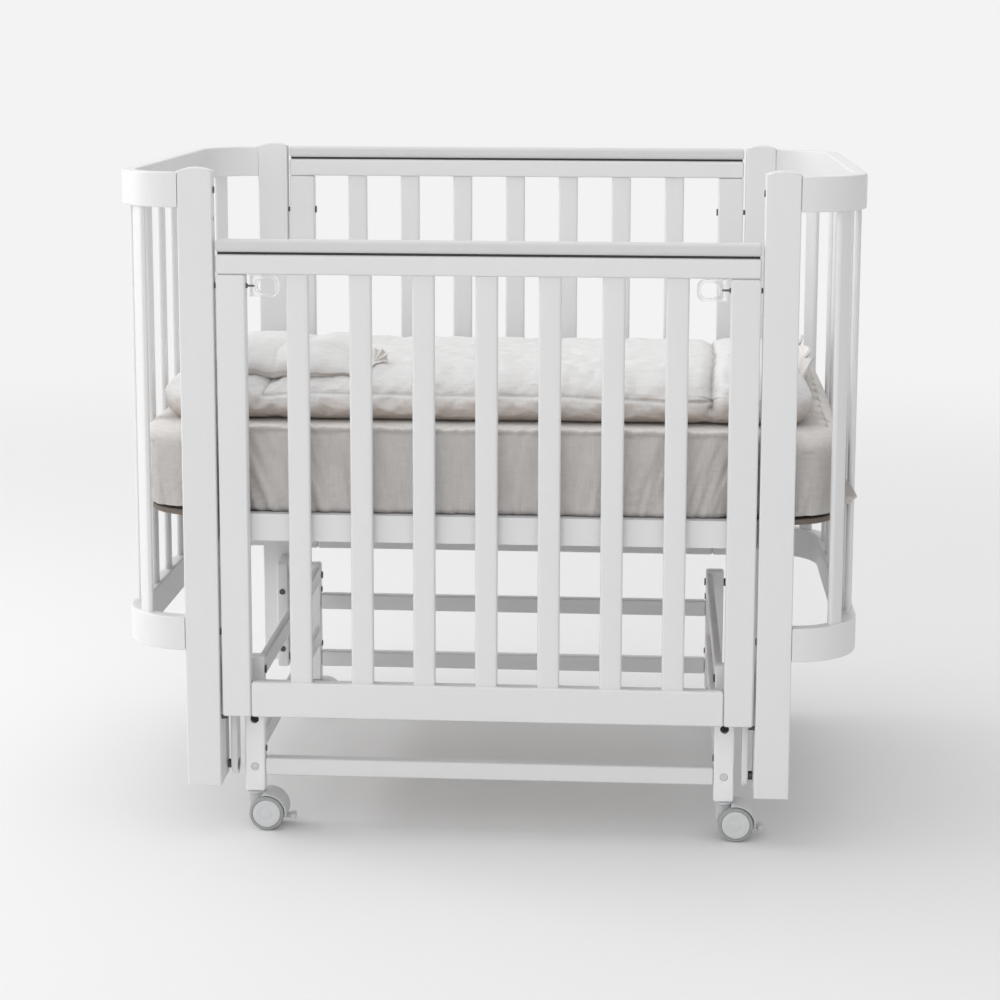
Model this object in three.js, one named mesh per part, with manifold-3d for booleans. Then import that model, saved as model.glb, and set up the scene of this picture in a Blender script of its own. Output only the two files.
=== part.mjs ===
// A small crib that swings front to back on four hanging links, over a low stand on casters.
// Millimetres. X runs along the crib, Y from its front to its rear and Z up.
// The origin is on the floor, under the middle of the crib.
import * as THREE from "three";
import { mergeVertices } from "three/addons/utils/BufferGeometryUtils.js";
import Module from "manifold-3d";

const wasm = await Module();
wasm.setup();

// The crib as a whole
const cribHeight = 950;
const cribDepth = 676;
const openingWidth = 750;
const timberEdge = 2;
const seatGap = 0.3;
const overrun = 1;
const mergeDistance = 0.0001;

// Corner posts: upright boards with a shallow crown
const postWidth = 48;
const postThick = 22;
const postFoot = 76;
const postCrown = 5;

// Bent end rails and the slats between them
const endReach = 95;
const endRailThick = 20;
const endRailHeight = 48;
const endRailDrop = 7;
const lowEndRailFoot = 273;
const endSlatWidth = 24;
const endSlatThick = 9;
const endSlatPitch = 90;

// Side panels: the front one slides, the rear one is fixed at the raised height
const panelThick = 20;
const panelGap = 3.5;
const panelHeight = 673.5;
const panelLoweredFoot = 178.5;
const panelTravel = 92;
const capHeight = 17.2;
const capThick = 21;
const capNeckThick = 9;
const capGroove = 3.3;
const topRailHeight = 27;
const bottomRailHeight = 50;
const stileWidth = 40.5;
const slatWidth = 31;
const slatThick = 12;
const slatCount = 7;

// Latches of the sliding panel, with the holes and stops that they work with
const latchDrop = 16.5;
const latchPinRadius = 4;
const latchPinClearance = 0.4;
const latchPinReach = 2.7;
const latchHoleDepth = 14;
const latchRingWidth = 39;
const latchRingHeight = 30;
const latchRingThick = 6;
const latchRingGap = 5;
const latchRingCorner = 11;
const fingerHoleWidth = 24;
const fingerHoleHeight = 18;
const fingerHoleCorner = 8;
const stopPinRadius = 3;
const stopPinLength = 9;

// Bolts that hold the fixed rear panel between its posts
const panelBoltInset = 56;
const panelBoltRadius = 4;
const panelBoltClearance = 0.3;
const panelBoltReach = 16;
const panelBoltHeadRadius = 5.5;
const panelBoltHeadThick = 2.5;

// Stand: legs, stretchers along X and side rails along Y
const standInset = 46;
const legWidth = 29;
const legThick = 18;
const legFoot = 54;
const legLength = 200;
const legBoreRadius = 6.5;
const legBoreDepth = 7;
const legBoreRise = 107;
const legCapRadius = 6;
const legCapRise = 37;
const legCapDepth = 3;
const stretcherHeight = 26;
const stretcherThick = 16;
const lowerStretcherFoot = 78;
const upperStretcherDrop = 78;
const sideRailThick = 11;
const sideRailHeight = 28;
const lowerSideRailFoot = 117;
const upperSideRailDrop = 33;

// Hanging links and their pivots
const linkWidth = 30;
const linkThick = 9;
const linkEdge = 1.5;
const pivotDrop = 21;
const lowerPivotRise = 38;
const pivotRadius = 4;
const pivotClearance = 0.3;
const spacerRadius = 6.5;
const legSpacer = 10;
const bracketSpacer = 7;
const boltHeadRadius = 7;
const boltHeadThick = 3.2;
const boltRecessRadius = 10.5;
const boltRecessDepth = 4;
const nutRadius = 6;
const nutThick = 2.5;

// Bracket boards that carry the lower pivots
const bracketThick = 18;
const bracketDepth = 46;
const bracketHeight = 182;
const bracketCorner = 8;

// Twin-wheel casters
const wheelRadius = 25;
const wheelThick = 14;
const wheelSpacing = 31;
const hubRadius = 19.8;
const hubRecess = 1;
const treadRound = 3;
const axleRadius = 3;
const axleClearance = 0.4;
const axleTrail = 17.5;
const stemRadius = 4;
const stemClearance = 0.5;
const stemLength = 20;
const casterPlateRadius = 13;
const casterPlateThick = 2;
const neckWidth = 20;
const webThick = 13;
const webBossRadius = 9;
const fenderGap = 1.4;
const fenderThick = 1.7;
const fenderWidth = 44;
const brakeThick = 6;
const brakeClearance = 0.4;
const brakePivotRadius = 2;
const brakeEarRadius = 6;
const brakeRadius = 3.6;
const brakeReach = 21;
const brakePivotRun = 14.5;
const brakePivotDrop = 8;
const brakePadWidth = 17;
const brakePadLength = 9;

// Bed base
const baseRailFoot = 428;
const baseRailHeight = 38;
const baseRailThick = 18;
const ledgeWidth = 13;
const boardThick = 8;
const boardGap = 15.5;

// Bedding
const mattressHeight = 116;
const mattressGap = 5;
const mattressSideGap = 12;
const mattressCorner = 78;
const mattressEdge = 16;
const mattressCrown = 4;
const quiltHeight = 70;
const quiltEdge = 24;
const quiltCorner = 56;
const quiltCrown = 6;
const quiltPull = 7;
const quiltSeamPinch = 9;
const quiltFall = 16;
const quiltFrontGap = 19;
const quiltRearGap = 30;
const quiltEndGap = 36;
const bolsterLength = 132;
const bolsterHeight = 82;
const bolsterEndGap = 50;
const bolsterGap = 3;
const pillowLength = 286;
const pillowHeight = 24;
const pillowFrontGap = 66;
const pillowRearGap = 86;
const pillowEndGap = 62;
const pillowEdge = 13;

// How finely round forms are stepped
const eased = 1;
const softArc = 2;
const bendArc = 5;
const boltSides = 10;
const discSides = 16;
const wheelSides = 20;

// Angles of the caster, measured round its axle from straight behind
const fenderFrom = THREE.MathUtils.degToRad(-8);
const fenderTo = THREE.MathUtils.degToRad(104);

// Places that several pieces share
const halfDepth = cribDepth / 2;
const postInner = openingWidth / 2;
const postOuter = postInner + postWidth;
const postMiddle = postInner + postWidth / 2;
const postBack = halfDepth - postThick;
const panelMiddle = halfDepth - panelThick / 2;
const panelHalf = postInner - panelGap;
const stileInner = panelHalf - stileWidth;
const topRailFoot = panelHeight - capHeight - capGroove - topRailHeight;
const latchRise = topRailFoot - latchDrop;
const panelBoltRises = [panelBoltInset, topRailFoot - panelBoltInset];
const endTopRailFoot = cribHeight - endRailDrop - endRailHeight;
const lowEndRailTop = lowEndRailFoot + endRailHeight;
const endBend = endReach - endRailThick / 2;
const endSlatLine = postOuter + endBend;
const bendMiddle = halfDepth - endReach;
const bracketInner = postInner;
const linkOuter = bracketInner - bracketSpacer;
const linkInner = linkOuter - linkThick;
const legOuter = linkInner - legSpacer;
const legInner = legOuter - legWidth;
const legMiddle = legOuter - legWidth / 2;
const pivotY = halfDepth - standInset - legThick / 2;
const legTop = legFoot + legLength;
const upperStretcherFoot = legTop - upperStretcherDrop;
const upperSideRailFoot = legTop - upperSideRailDrop;
const upperPivot = legTop - pivotDrop;
const lowerPivot = legFoot + lowerPivotRise;
const boardTop = baseRailFoot + baseRailHeight;
const mattressTop = boardTop + seatGap + mattressHeight;
const beddingFoot = mattressTop + mattressCrown + seatGap;

const axisX = new THREE.Vector3(1, 0, 0);
const axisY = new THREE.Vector3(0, 1, 0);
const axisZ = new THREE.Vector3(0, 0, 1);

// A drawing's own x, y and thickness, laid along the crib's axes
const facings = {
  plan: new THREE.Matrix4(),
  front: new THREE.Matrix4().makeBasis(axisX, axisZ, axisY.clone().negate()),
  side: new THREE.Matrix4().makeBasis(axisY, axisZ, axisX),
};

const finishes = {
  paint: { color: 0xe9e8e6, roughness: 0.42, metalness: 0 },
  cap: { color: 0xf0efee, roughness: 0.3, metalness: 0 },
  casterShell: { color: 0xb9b9b8, roughness: 0.45, metalness: 0 },
  wheel: { color: 0xcfcfcd, roughness: 0.5, metalness: 0 },
  latch: { color: 0xe6e6e4, roughness: 0.25, metalness: 0 },
  board: { color: 0x8d7a6a, roughness: 0.75, metalness: 0 },
  sheet: { color: 0xb8b0a8, roughness: 0.95, metalness: 0 },
  cotton: { color: 0xdcd6cd, roughness: 0.95, metalness: 0 },
};

// A closed geometry as a solid that can be joined and cut.
function solid(geometry) {
  const shell = geometry.clone();
  shell.deleteAttribute("normal");
  shell.deleteAttribute("uv");
  const merged = mergeVertices(shell, mergeDistance);
  return new wasm.Manifold(
    new wasm.Mesh({
      numProp: 3,
      vertProperties: merged.attributes.position.array,
      triVerts: new Uint32Array(merged.index.array),
    }),
  );
}

function geometryOf(body) {
  const mesh = body.getMesh();
  const geometry = new THREE.BufferGeometry();
  geometry.setAttribute("position", new THREE.BufferAttribute(mesh.vertProperties, mesh.numProp));
  geometry.setIndex(new THREE.BufferAttribute(mesh.triVerts, 1));
  geometry.computeVertexNormals();
  return geometry;
}

function roundedOutline(width, height, radius) {
  const x = width / 2;
  const y = height / 2;
  const outline = new THREE.Shape();
  outline.moveTo(-x, radius - y);
  outline.absarc(radius - x, radius - y, radius, Math.PI, 1.5 * Math.PI, false);
  outline.absarc(x - radius, radius - y, radius, 1.5 * Math.PI, 2 * Math.PI, false);
  outline.absarc(x - radius, y - radius, radius, 0, 0.5 * Math.PI, false);
  outline.absarc(radius - x, y - radius, radius, 0.5 * Math.PI, Math.PI, false);
  return outline;
}

// An outline thickened evenly about its own plane, with eased edges.
function slab(outline, thickness, facing, edge = timberEdge, arcSteps = eased, edgeSteps = 1) {
  const depth = thickness - 2 * edge;
  const geometry = new THREE.ExtrudeGeometry(outline, {
    depth,
    bevelThickness: edge,
    bevelSize: edge,
    bevelOffset: -edge,
    bevelSegments: edgeSteps,
    curveSegments: arcSteps,
  });
  geometry.translate(0, 0, -depth / 2);
  geometry.applyMatrix4(facings[facing]);
  return geometry;
}

// A painted timber bar, drawn across its two smaller sizes or along its length.
function bar(width, height, thickness, facing) {
  return slab(roundedOutline(width, height, 1.6 * timberEdge), thickness, facing);
}

// A round rod about one of the crib's axes, centred on a point.
function rod(radius, length, axis, x, y, z, sides = boltSides) {
  const geometry = new THREE.CylinderGeometry(radius, radius, length, sides);
  geometry.applyQuaternion(new THREE.Quaternion().setFromUnitVectors(axisY, axis));
  geometry.translate(x, y, z);
  return solid(geometry);
}

// A rod about X between two places along it.
function crossRod(radius, from, to, y, z, sides = boltSides) {
  return rod(radius, to - from, axisX, (from + to) / 2, y, z, sides);
}

function placed(geometry, x, y, z) {
  return geometry.translate(x, y, z);
}

// The corner post stands in the quarter where X and Y are positive. A front one has latch holes and a stop
// pin for the sliding panel, a rear one holes for the fixed panel's bolts.
function post(isFront) {
  const crownRadius = (postWidth ** 2 / 4 + postCrown ** 2) / (2 * postCrown);
  const crownAngle = Math.asin(postWidth / 2 / crownRadius);
  const outline = new THREE.Shape();
  outline.moveTo(-postWidth / 2, postFoot);
  outline.lineTo(postWidth / 2, postFoot);
  outline.absarc(0, cribHeight - crownRadius, crownRadius, Math.PI / 2 - crownAngle, Math.PI / 2 + crownAngle, false);
  const board = placed(slab(outline, postThick, "front", timberEdge, softArc, 2), postMiddle, halfDepth - postThick / 2, 0);
  const frontHeights = [panelLoweredFoot + latchRise, panelLoweredFoot + latchRise + panelTravel];
  const rearHeights = panelBoltRises.map((rise) => panelLoweredFoot + panelTravel + rise);
  const radius = isFront ? latchPinRadius + latchPinClearance : panelBoltRadius + panelBoltClearance;
  const depth = isFront ? latchHoleDepth : panelBoltReach;
  const drilled = (isFront ? frontHeights : rearHeights).reduce(
    (body, height) =>
      body.subtract(crossRod(radius, postInner - overrun, postInner + depth, panelMiddle, height)),
    solid(board),
  );
  if (!isFront) return geometryOf(drilled);
  const stop = crossRod(
    stopPinRadius,
    postInner - stopPinLength,
    postInner + overrun,
    panelMiddle,
    panelLoweredFoot - seatGap - stopPinRadius,
  );
  return geometryOf(drilled.add(stop));
}

// The end rail's plan from the rear post round both corners to the front post.
function endRail(foot) {
  const inner = endReach - endRailThick;
  const start = postOuter + seatGap;
  const outline = new THREE.Shape();
  outline.moveTo(start, -halfDepth);
  outline.absarc(postOuter, -bendMiddle, endReach, 1.5 * Math.PI + seatGap / endReach, 2 * Math.PI, false);
  outline.absarc(postOuter, bendMiddle, endReach, 0, 0.5 * Math.PI - seatGap / endReach, false);
  outline.lineTo(start, halfDepth - endRailThick);
  outline.absarc(postOuter, bendMiddle, inner, 0.5 * Math.PI - seatGap / inner, 0, true);
  outline.absarc(postOuter, -bendMiddle, inner, 0, -0.5 * Math.PI + seatGap / inner, true);
  return placed(slab(outline, endRailHeight, "plan", timberEdge, bendArc, 2), 0, 0, foot + endRailHeight / 2);
}

// One end slat, upright, with its broad face square to the rail where it stands.
function endSlat(x, y, turn) {
  const foot = lowEndRailTop - overrun;
  const height = endTopRailFoot - seatGap - foot;
  const geometry = new THREE.ExtrudeGeometry(
    roundedOutline(endSlatThick, endSlatWidth, endSlatThick * 0.42),
    { depth: height, bevelEnabled: false, curveSegments: eased },
  );
  geometry.rotateZ(turn);
  return solid(placed(geometry, x, y, foot));
}

function endSlats() {
  const slats = [];
  const pairs = Math.floor((bendMiddle + endSlatPitch / 2) / endSlatPitch);
  for (let i = 0; i < pairs; i++) {
    const y = (i + 0.5) * endSlatPitch;
    slats.push(endSlat(endSlatLine, y, 0), endSlat(endSlatLine, -y, 0));
  }
  const turn = Math.PI / 4;
  const x = postOuter + endBend * Math.cos(turn);
  const y = bendMiddle + endBend * Math.sin(turn);
  slats.push(endSlat(x, y, turn), endSlat(x, -y, -turn));
  return slats;
}

// The low end rail carries the slats, which stop just under the top rail.
function endSlatRail() {
  return geometryOf(endSlats().reduce((body, slat) => body.add(slat), solid(endRail(lowEndRailFoot))));
}

// The bracket board behind a post, with the fixed spacer and bolt of the lower pivot.
function bracket() {
  const back = postBack - seatGap;
  const front = back - bracketDepth;
  const outline = new THREE.Shape();
  outline.moveTo(back, postFoot);
  outline.lineTo(back, postFoot + bracketHeight);
  outline.absarc(front + bracketCorner, postFoot + bracketHeight - bracketCorner, bracketCorner, Math.PI / 2, Math.PI, false);
  outline.absarc(front + bracketCorner, postFoot + bracketCorner, bracketCorner, Math.PI, 1.5 * Math.PI, false);
  const board = placed(slab(outline, bracketThick, "side", timberEdge, softArc), bracketInner + bracketThick / 2, 0, 0);
  const spacer = crossRod(spacerRadius, linkOuter + seatGap, bracketInner + overrun, pivotY, lowerPivot);
  const headPlace = linkInner + boltRecessDepth - seatGap - boltHeadThick;
  const bolt = crossRod(pivotRadius, headPlace, bracketInner, pivotY, lowerPivot);
  const head = crossRod(boltHeadRadius, headPlace, headPlace + boltHeadThick, pivotY, lowerPivot);
  return geometryOf(solid(board).add(spacer).add(bolt).add(head));
}

// A link hangs from the leg's bolt and carries the bracket's, each bolt head in its own recess.
function link() {
  const outline = new THREE.Shape();
  outline.moveTo(pivotY - linkWidth / 2, upperPivot);
  outline.lineTo(pivotY - linkWidth / 2, lowerPivot);
  outline.absarc(pivotY, lowerPivot, linkWidth / 2, Math.PI, 2 * Math.PI, false);
  outline.lineTo(pivotY + linkWidth / 2, upperPivot);
  outline.absarc(pivotY, upperPivot, linkWidth / 2, 0, Math.PI, false);
  const blank = placed(slab(outline, linkThick, "side", linkEdge, bendArc), linkInner + linkThick / 2, 0, 0);
  const boreRadius = pivotRadius + pivotClearance;
  const from = linkInner - overrun;
  const to = linkOuter + overrun;
  return geometryOf(
    solid(blank)
      .subtract(crossRod(boreRadius, from, to, pivotY, upperPivot))
      .subtract(crossRod(boreRadius, from, to, pivotY, lowerPivot))
      .subtract(crossRod(boltRecessRadius, from, linkInner + boltRecessDepth, pivotY, lowerPivot))
      .subtract(crossRod(boltRecessRadius, linkOuter - boltRecessDepth, to, pivotY, upperPivot)),
  );
}

// A leg with the bolt of the upper pivot through it, the bores in its outer face and the caster's socket.
function leg() {
  const board = placed(bar(legWidth, legLength, legThick, "front"), legMiddle, pivotY, legFoot + legLength / 2);
  const face = pivotY + legThick / 2;
  const bore = rod(
    legBoreRadius,
    legBoreDepth + overrun,
    axisY,
    legMiddle,
    face + (overrun - legBoreDepth) / 2,
    legFoot + legBoreRise,
  );
  const capBore = rod(
    legCapRadius,
    legCapDepth + overrun,
    axisY,
    legMiddle,
    face + (overrun - legCapDepth) / 2,
    legFoot + legCapRise,
  );
  const socket = rod(
    stemRadius + stemClearance,
    stemLength + 2 * overrun,
    axisZ,
    legMiddle,
    pivotY,
    legFoot + stemLength / 2,
  );
  const spacer = crossRod(spacerRadius, legOuter - overrun, linkInner - seatGap, pivotY, upperPivot);
  const headPlace = linkOuter - boltRecessDepth + seatGap;
  const bolt = crossRod(pivotRadius, legOuter, headPlace + boltHeadThick, pivotY, upperPivot);
  const head = crossRod(boltHeadRadius, headPlace, headPlace + boltHeadThick, pivotY, upperPivot);
  const nut = crossRod(nutRadius, legInner - nutThick, legInner + overrun, pivotY, upperPivot, 6);
  return geometryOf(
    solid(board).subtract(bore).subtract(capBore).subtract(socket).add(spacer).add(bolt).add(head).add(nut),
  );
}

function stretcher(foot) {
  const length = 2 * (legInner - seatGap);
  const beam = bar(length, stretcherHeight, stretcherThick, "front");
  return geometryOf(solid(placed(beam, 0, pivotY, foot + stretcherHeight / 2)));
}

function sideRail(foot) {
  const length = 2 * (pivotY - legThick / 2 - seatGap);
  const beam = bar(length, sideRailHeight, sideRailThick, "side");
  return geometryOf(solid(placed(beam, legInner + sideRailThick / 2, 0, foot + sideRailHeight / 2)));
}

// The rounded plastic cap of a panel stands on a narrow neck, which leaves a shadow groove over the rail.
function panelCap() {
  const foot = panelHeight - capHeight - capGroove;
  const body = slab(
    roundedOutline(capThick, capHeight, capHeight * 0.3),
    2 * panelHalf,
    "side",
    timberEdge,
    softArc,
  );
  const neck = new THREE.BoxGeometry(2 * (panelHalf - timberEdge), capNeckThick, capGroove + timberEdge);
  return geometryOf(
    solid(placed(body, 0, 0, panelHeight - capHeight / 2)).add(
      solid(placed(neck, 0, 0, foot + seatGap + (capGroove + timberEdge) / 2)),
    ),
  );
}

function panelTopRail() {
  const rail = bar(2 * panelHalf, topRailHeight, panelThick, "front");
  return geometryOf(solid(placed(rail, 0, 0, topRailFoot + topRailHeight / 2)));
}

// A stile runs from the panel's foot to the top rail.
function stileBoard() {
  const height = topRailFoot - seatGap;
  return solid(placed(bar(stileWidth, height, panelThick, "front"), stileInner + stileWidth / 2, 0, height / 2));
}

// The sliding panel's stile is bored along X for the latch pin.
function slidingStile() {
  const bore = crossRod(
    latchPinRadius + latchPinClearance,
    stileInner - overrun,
    panelHalf + overrun,
    0,
    latchRise,
  );
  return geometryOf(stileBoard().subtract(bore));
}

// The fixed panel's stile holds the bolts that run on into the post.
function fixedStile() {
  const bolts = panelBoltRises.flatMap((rise) => [
    crossRod(panelBoltRadius, stileInner, postInner + panelBoltReach - overrun, 0, rise),
    crossRod(panelBoltHeadRadius, stileInner - panelBoltHeadThick, stileInner + overrun, 0, rise),
  ]);
  return geometryOf(bolts.reduce((body, bolt) => body.add(bolt), stileBoard()));
}

// The bottom rail of a panel carries its slats, spaced evenly between the stiles.
function panelSlatRail() {
  const half = stileInner - seatGap;
  const rail = placed(bar(2 * half, bottomRailHeight, panelThick, "front"), 0, 0, bottomRailHeight / 2);
  const foot = bottomRailHeight - overrun;
  const height = topRailFoot - seatGap - foot;
  const gap = (2 * stileInner - slatCount * slatWidth) / (slatCount + 1);
  let body = solid(rail);
  for (let i = 0; i < slatCount; i++) {
    const x = -stileInner + gap + slatWidth / 2 + i * (gap + slatWidth);
    const slat = new THREE.ExtrudeGeometry(roundedOutline(slatWidth, slatThick, slatThick * 0.3), {
      depth: height,
      bevelEnabled: false,
      curveSegments: eased,
    });
    body = body.add(solid(placed(slat, x, 0, foot)));
  }
  return geometryOf(body);
}

// The pull of the latch: a rounded ring beside the stile, and the pin through the stile to the post.
function latch() {
  const ringOuter = stileInner - latchRingGap;
  const middle = ringOuter - latchRingWidth / 2;
  const outline = roundedOutline(latchRingWidth, latchRingHeight, latchRingCorner);
  outline.holes.push(roundedOutline(fingerHoleWidth, fingerHoleHeight, fingerHoleCorner));
  const ring = placed(slab(outline, latchRingThick, "front", latchRingThick / 4, softArc), middle, 0, latchRise);
  const pin = crossRod(
    latchPinRadius,
    ringOuter - overrun,
    panelHalf + latchPinReach,
    0,
    latchRise,
  );
  return geometryOf(solid(ring).add(pin));
}

// A front or rear rail of the bed base, rebated so that the board lies flush with its top.
function baseRail() {
  const back = postBack - seatGap;
  const front = back - baseRailThick;
  const outline = new THREE.Shape();
  outline.moveTo(back, baseRailFoot);
  outline.lineTo(back, boardTop);
  outline.lineTo(front, boardTop);
  outline.lineTo(front, boardTop - boardThick - seatGap);
  outline.lineTo(front - ledgeWidth, boardTop - boardThick - seatGap);
  outline.lineTo(front - ledgeWidth, baseRailFoot);
  return geometryOf(solid(slab(outline, 2 * postOuter, "side", timberEdge / 2)));
}

function baseBoard() {
  const reach = endSlatLine - endSlatThick / 2 - boardGap;
  const half = postBack - baseRailThick - 2 * seatGap;
  const outline = roundedOutline(2 * reach, 2 * half, endReach - endRailThick);
  return geometryOf(solid(placed(slab(outline, boardThick, "plan", timberEdge / 2, bendArc), 0, 0, boardTop - boardThick / 2)));
}

// One level ring of a cushion: a rounded rectangle drawn in by an inset, whose long sides may pull in.
function cushionRing({ halfX, halfY, corner, pull }, inset, share) {
  const ring = [];
  const arcSteps = 4;
  const sideSteps = 3;
  const radius = corner - inset;
  const centreX = halfX - corner;
  const centreY = halfY - corner;
  const quarters = [
    [1, 1],
    [-1, 1],
    [-1, -1],
    [1, -1],
  ];
  quarters.forEach(([sx, sy], quarter) => {
    const start = (quarter * Math.PI) / 2;
    for (let i = 0; i <= arcSteps; i++) {
      const angle = start + (i / arcSteps) * (Math.PI / 2);
      ring.push([sx * centreX + radius * Math.cos(angle), sy * centreY + radius * Math.sin(angle)]);
    }
    const [nextX, nextY] = quarters[(quarter + 1) % 4];
    const last = ring[ring.length - 1];
    const turned = start + Math.PI / 2;
    const next = [nextX * centreX + radius * Math.cos(turned), nextY * centreY + radius * Math.sin(turned)];
    for (let i = 1; i < sideSteps; i++) {
      const t = i / sideSteps;
      ring.push([last[0] + (next[0] - last[0]) * t, last[1] + (next[1] - last[1]) * t]);
    }
  });
  return ring.map(([x, y]) => {
    const drawn = pull * (1 - (x / halfX) ** 2) * (Math.abs(y) / halfY) ** 4;
    return [x * share, (y - Math.sign(y) * drawn) * share];
  });
}

// A closed cushion. Its side profile lists insets and heights as shares of its edge and its height.
// Its top falls towards the rear, and the whole of it can lean with what it lies on.
function cushion(form, profileShares, crownShares) {
  const { edge, height, crown, halfY, fall = 0, lean = 0 } = form;
  const rings = profileShares.map(([insetShare, heightShare]) => ({
    points: cushionRing(form, insetShare * edge, 1),
    z: heightShare * height,
  }));
  const lid = crownShares.map((share) => ({
    points: cushionRing(form, edge, share),
    z: height + crown * (1 - share ** 2),
  }));
  const floor = { points: cushionRing(form, edge, crownShares[1]), z: 0 };
  const levels = [floor, ...rings, ...lid];
  const count = levels[0].points.length;
  const positions = [0, 0, 0];
  const settled = (y, z) => z - ((fall * Math.min(1, z / height) + lean) * (1 + y / halfY)) / 2;
  levels.forEach(({ points, z }) => points.forEach(([x, y]) => positions.push(x, y, settled(y, z))));
  positions.push(0, 0, settled(0, height + crown));
  positions[2] = settled(0, 0);
  const index = [];
  const at = (level, i) => 1 + level * count + (i % count);
  const top = 1 + levels.length * count;
  for (let i = 0; i < count; i++) {
    index.push(0, at(0, i + 1), at(0, i));
    for (let level = 0; level + 1 < levels.length; level++) {
      index.push(at(level, i), at(level, i + 1), at(level + 1, i + 1));
      index.push(at(level, i), at(level + 1, i + 1), at(level + 1, i));
    }
    index.push(at(levels.length - 1, i), at(levels.length - 1, i + 1), top);
  }
  const geometry = new THREE.BufferGeometry();
  geometry.setAttribute("position", new THREE.Float32BufferAttribute(positions, 3));
  geometry.setIndex(index);
  return geometry;
}

const crownShares = [0.86, 0.6, 0.3];
const boxedShares = [[1, 0], [0.4, 0.04], [0.05, 0.14], [0, 0.32], [0, 0.7], [0.06, 0.86], [0.4, 0.96], [1, 1]];
const puffedShares = [[1, 0], [0.45, 0.08], [0.05, 0.3], [0, 0.5], [0.07, 0.72], [0.45, 0.93], [1, 1]];

// The mattress in its fitted sheet, with rounded ends.
function mattress() {
  const form = {
    halfX: endSlatLine - endSlatThick / 2 - mattressGap,
    halfY: postBack - mattressSideGap,
    corner: mattressCorner,
    pull: 0,
    edge: mattressEdge,
    height: mattressHeight,
    crown: mattressCrown,
  };
  return geometryOf(solid(placed(cushion(form, boxedShares, crownShares), 0, 0, boardTop + seatGap)));
}

const quiltLeft = endSlatLine - endSlatThick / 2 - quiltEndGap;
const bolsterRight = endSlatLine - endSlatThick / 2 - bolsterEndGap;
const quiltRight = bolsterRight - bolsterLength - bolsterGap;
const quiltMiddleY = (quiltFrontGap - quiltRearGap) / 2;
const pillowWidth = 2 * postBack - pillowFrontGap - pillowRearGap;
const quiltHalfY = postBack - (quiltFrontGap + quiltRearGap) / 2;

// The quilt lies folded in two, so its edge has two rolls with a pinched seam between them.
function quilt() {
  const pinchShare = quiltSeamPinch / quiltEdge;
  const foldedShares = [
    [1, 0],
    [0.35, 0.05],
    [0, 0.25],
    [0.1, 0.42],
    [pinchShare, 0.52],
    [0.1, 0.62],
    [0.02, 0.78],
    [0.4, 0.95],
    [1, 1],
  ];
  const form = {
    halfX: (quiltLeft + quiltRight) / 2,
    halfY: quiltHalfY,
    corner: quiltCorner,
    pull: quiltPull,
    edge: quiltEdge,
    height: quiltHeight,
    crown: quiltCrown,
    fall: quiltFall,
  };
  const x = (quiltRight - quiltLeft) / 2;
  return geometryOf(solid(placed(cushion(form, foldedShares, crownShares), x, quiltMiddleY, beddingFoot)));
}

function bolster() {
  const form = {
    halfX: bolsterLength / 2,
    halfY: quiltHalfY,
    corner: quiltCorner,
    pull: 0,
    edge: quiltEdge,
    height: bolsterHeight,
    crown: quiltCrown,
    fall: quiltFall,
  };
  const x = bolsterRight - bolsterLength / 2;
  const innerEdge = bolsterRight - bolsterLength + quiltEdge;
  const slope = 1 - (innerEdge / (endSlatLine - endSlatThick / 2 - mattressGap - mattressEdge)) ** 2;
  const foot = mattressTop + mattressCrown * slope + seatGap;
  return geometryOf(solid(placed(cushion(form, puffedShares, crownShares), x, quiltMiddleY, foot)));
}

// The flat pillow lies on the quilt's crown, at the left end.
function pillow() {
  const form = {
    halfX: pillowLength / 2,
    halfY: pillowWidth / 2,
    corner: quiltCorner,
    pull: quiltPull,
    edge: pillowEdge,
    height: pillowHeight,
    crown: quiltCrown,
    fall: quiltFall / 2,
    lean: (quiltFall * pillowWidth) / 2 / quiltHalfY,
  };
  const x = pillowEndGap + pillowLength / 2 - endSlatLine;
  const y = pillowFrontGap + pillowWidth / 2 - postBack;
  const setBack = (pillowFrontGap - quiltFrontGap) / 2 / quiltHalfY;
  const foot = beddingFoot + quiltHeight + quiltCrown + seatGap - quiltFall * setBack;
  return geometryOf(solid(placed(cushion(form, puffedShares, crownShares), x, y, foot)));
}

// A caster is drawn about its swivel axis, with its axle trailing behind along X.
const plateTop = legFoot - seatGap;
const brakePivotX = axleTrail + brakePivotRun;
const brakePivotZ = wheelRadius - brakePivotDrop;

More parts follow.
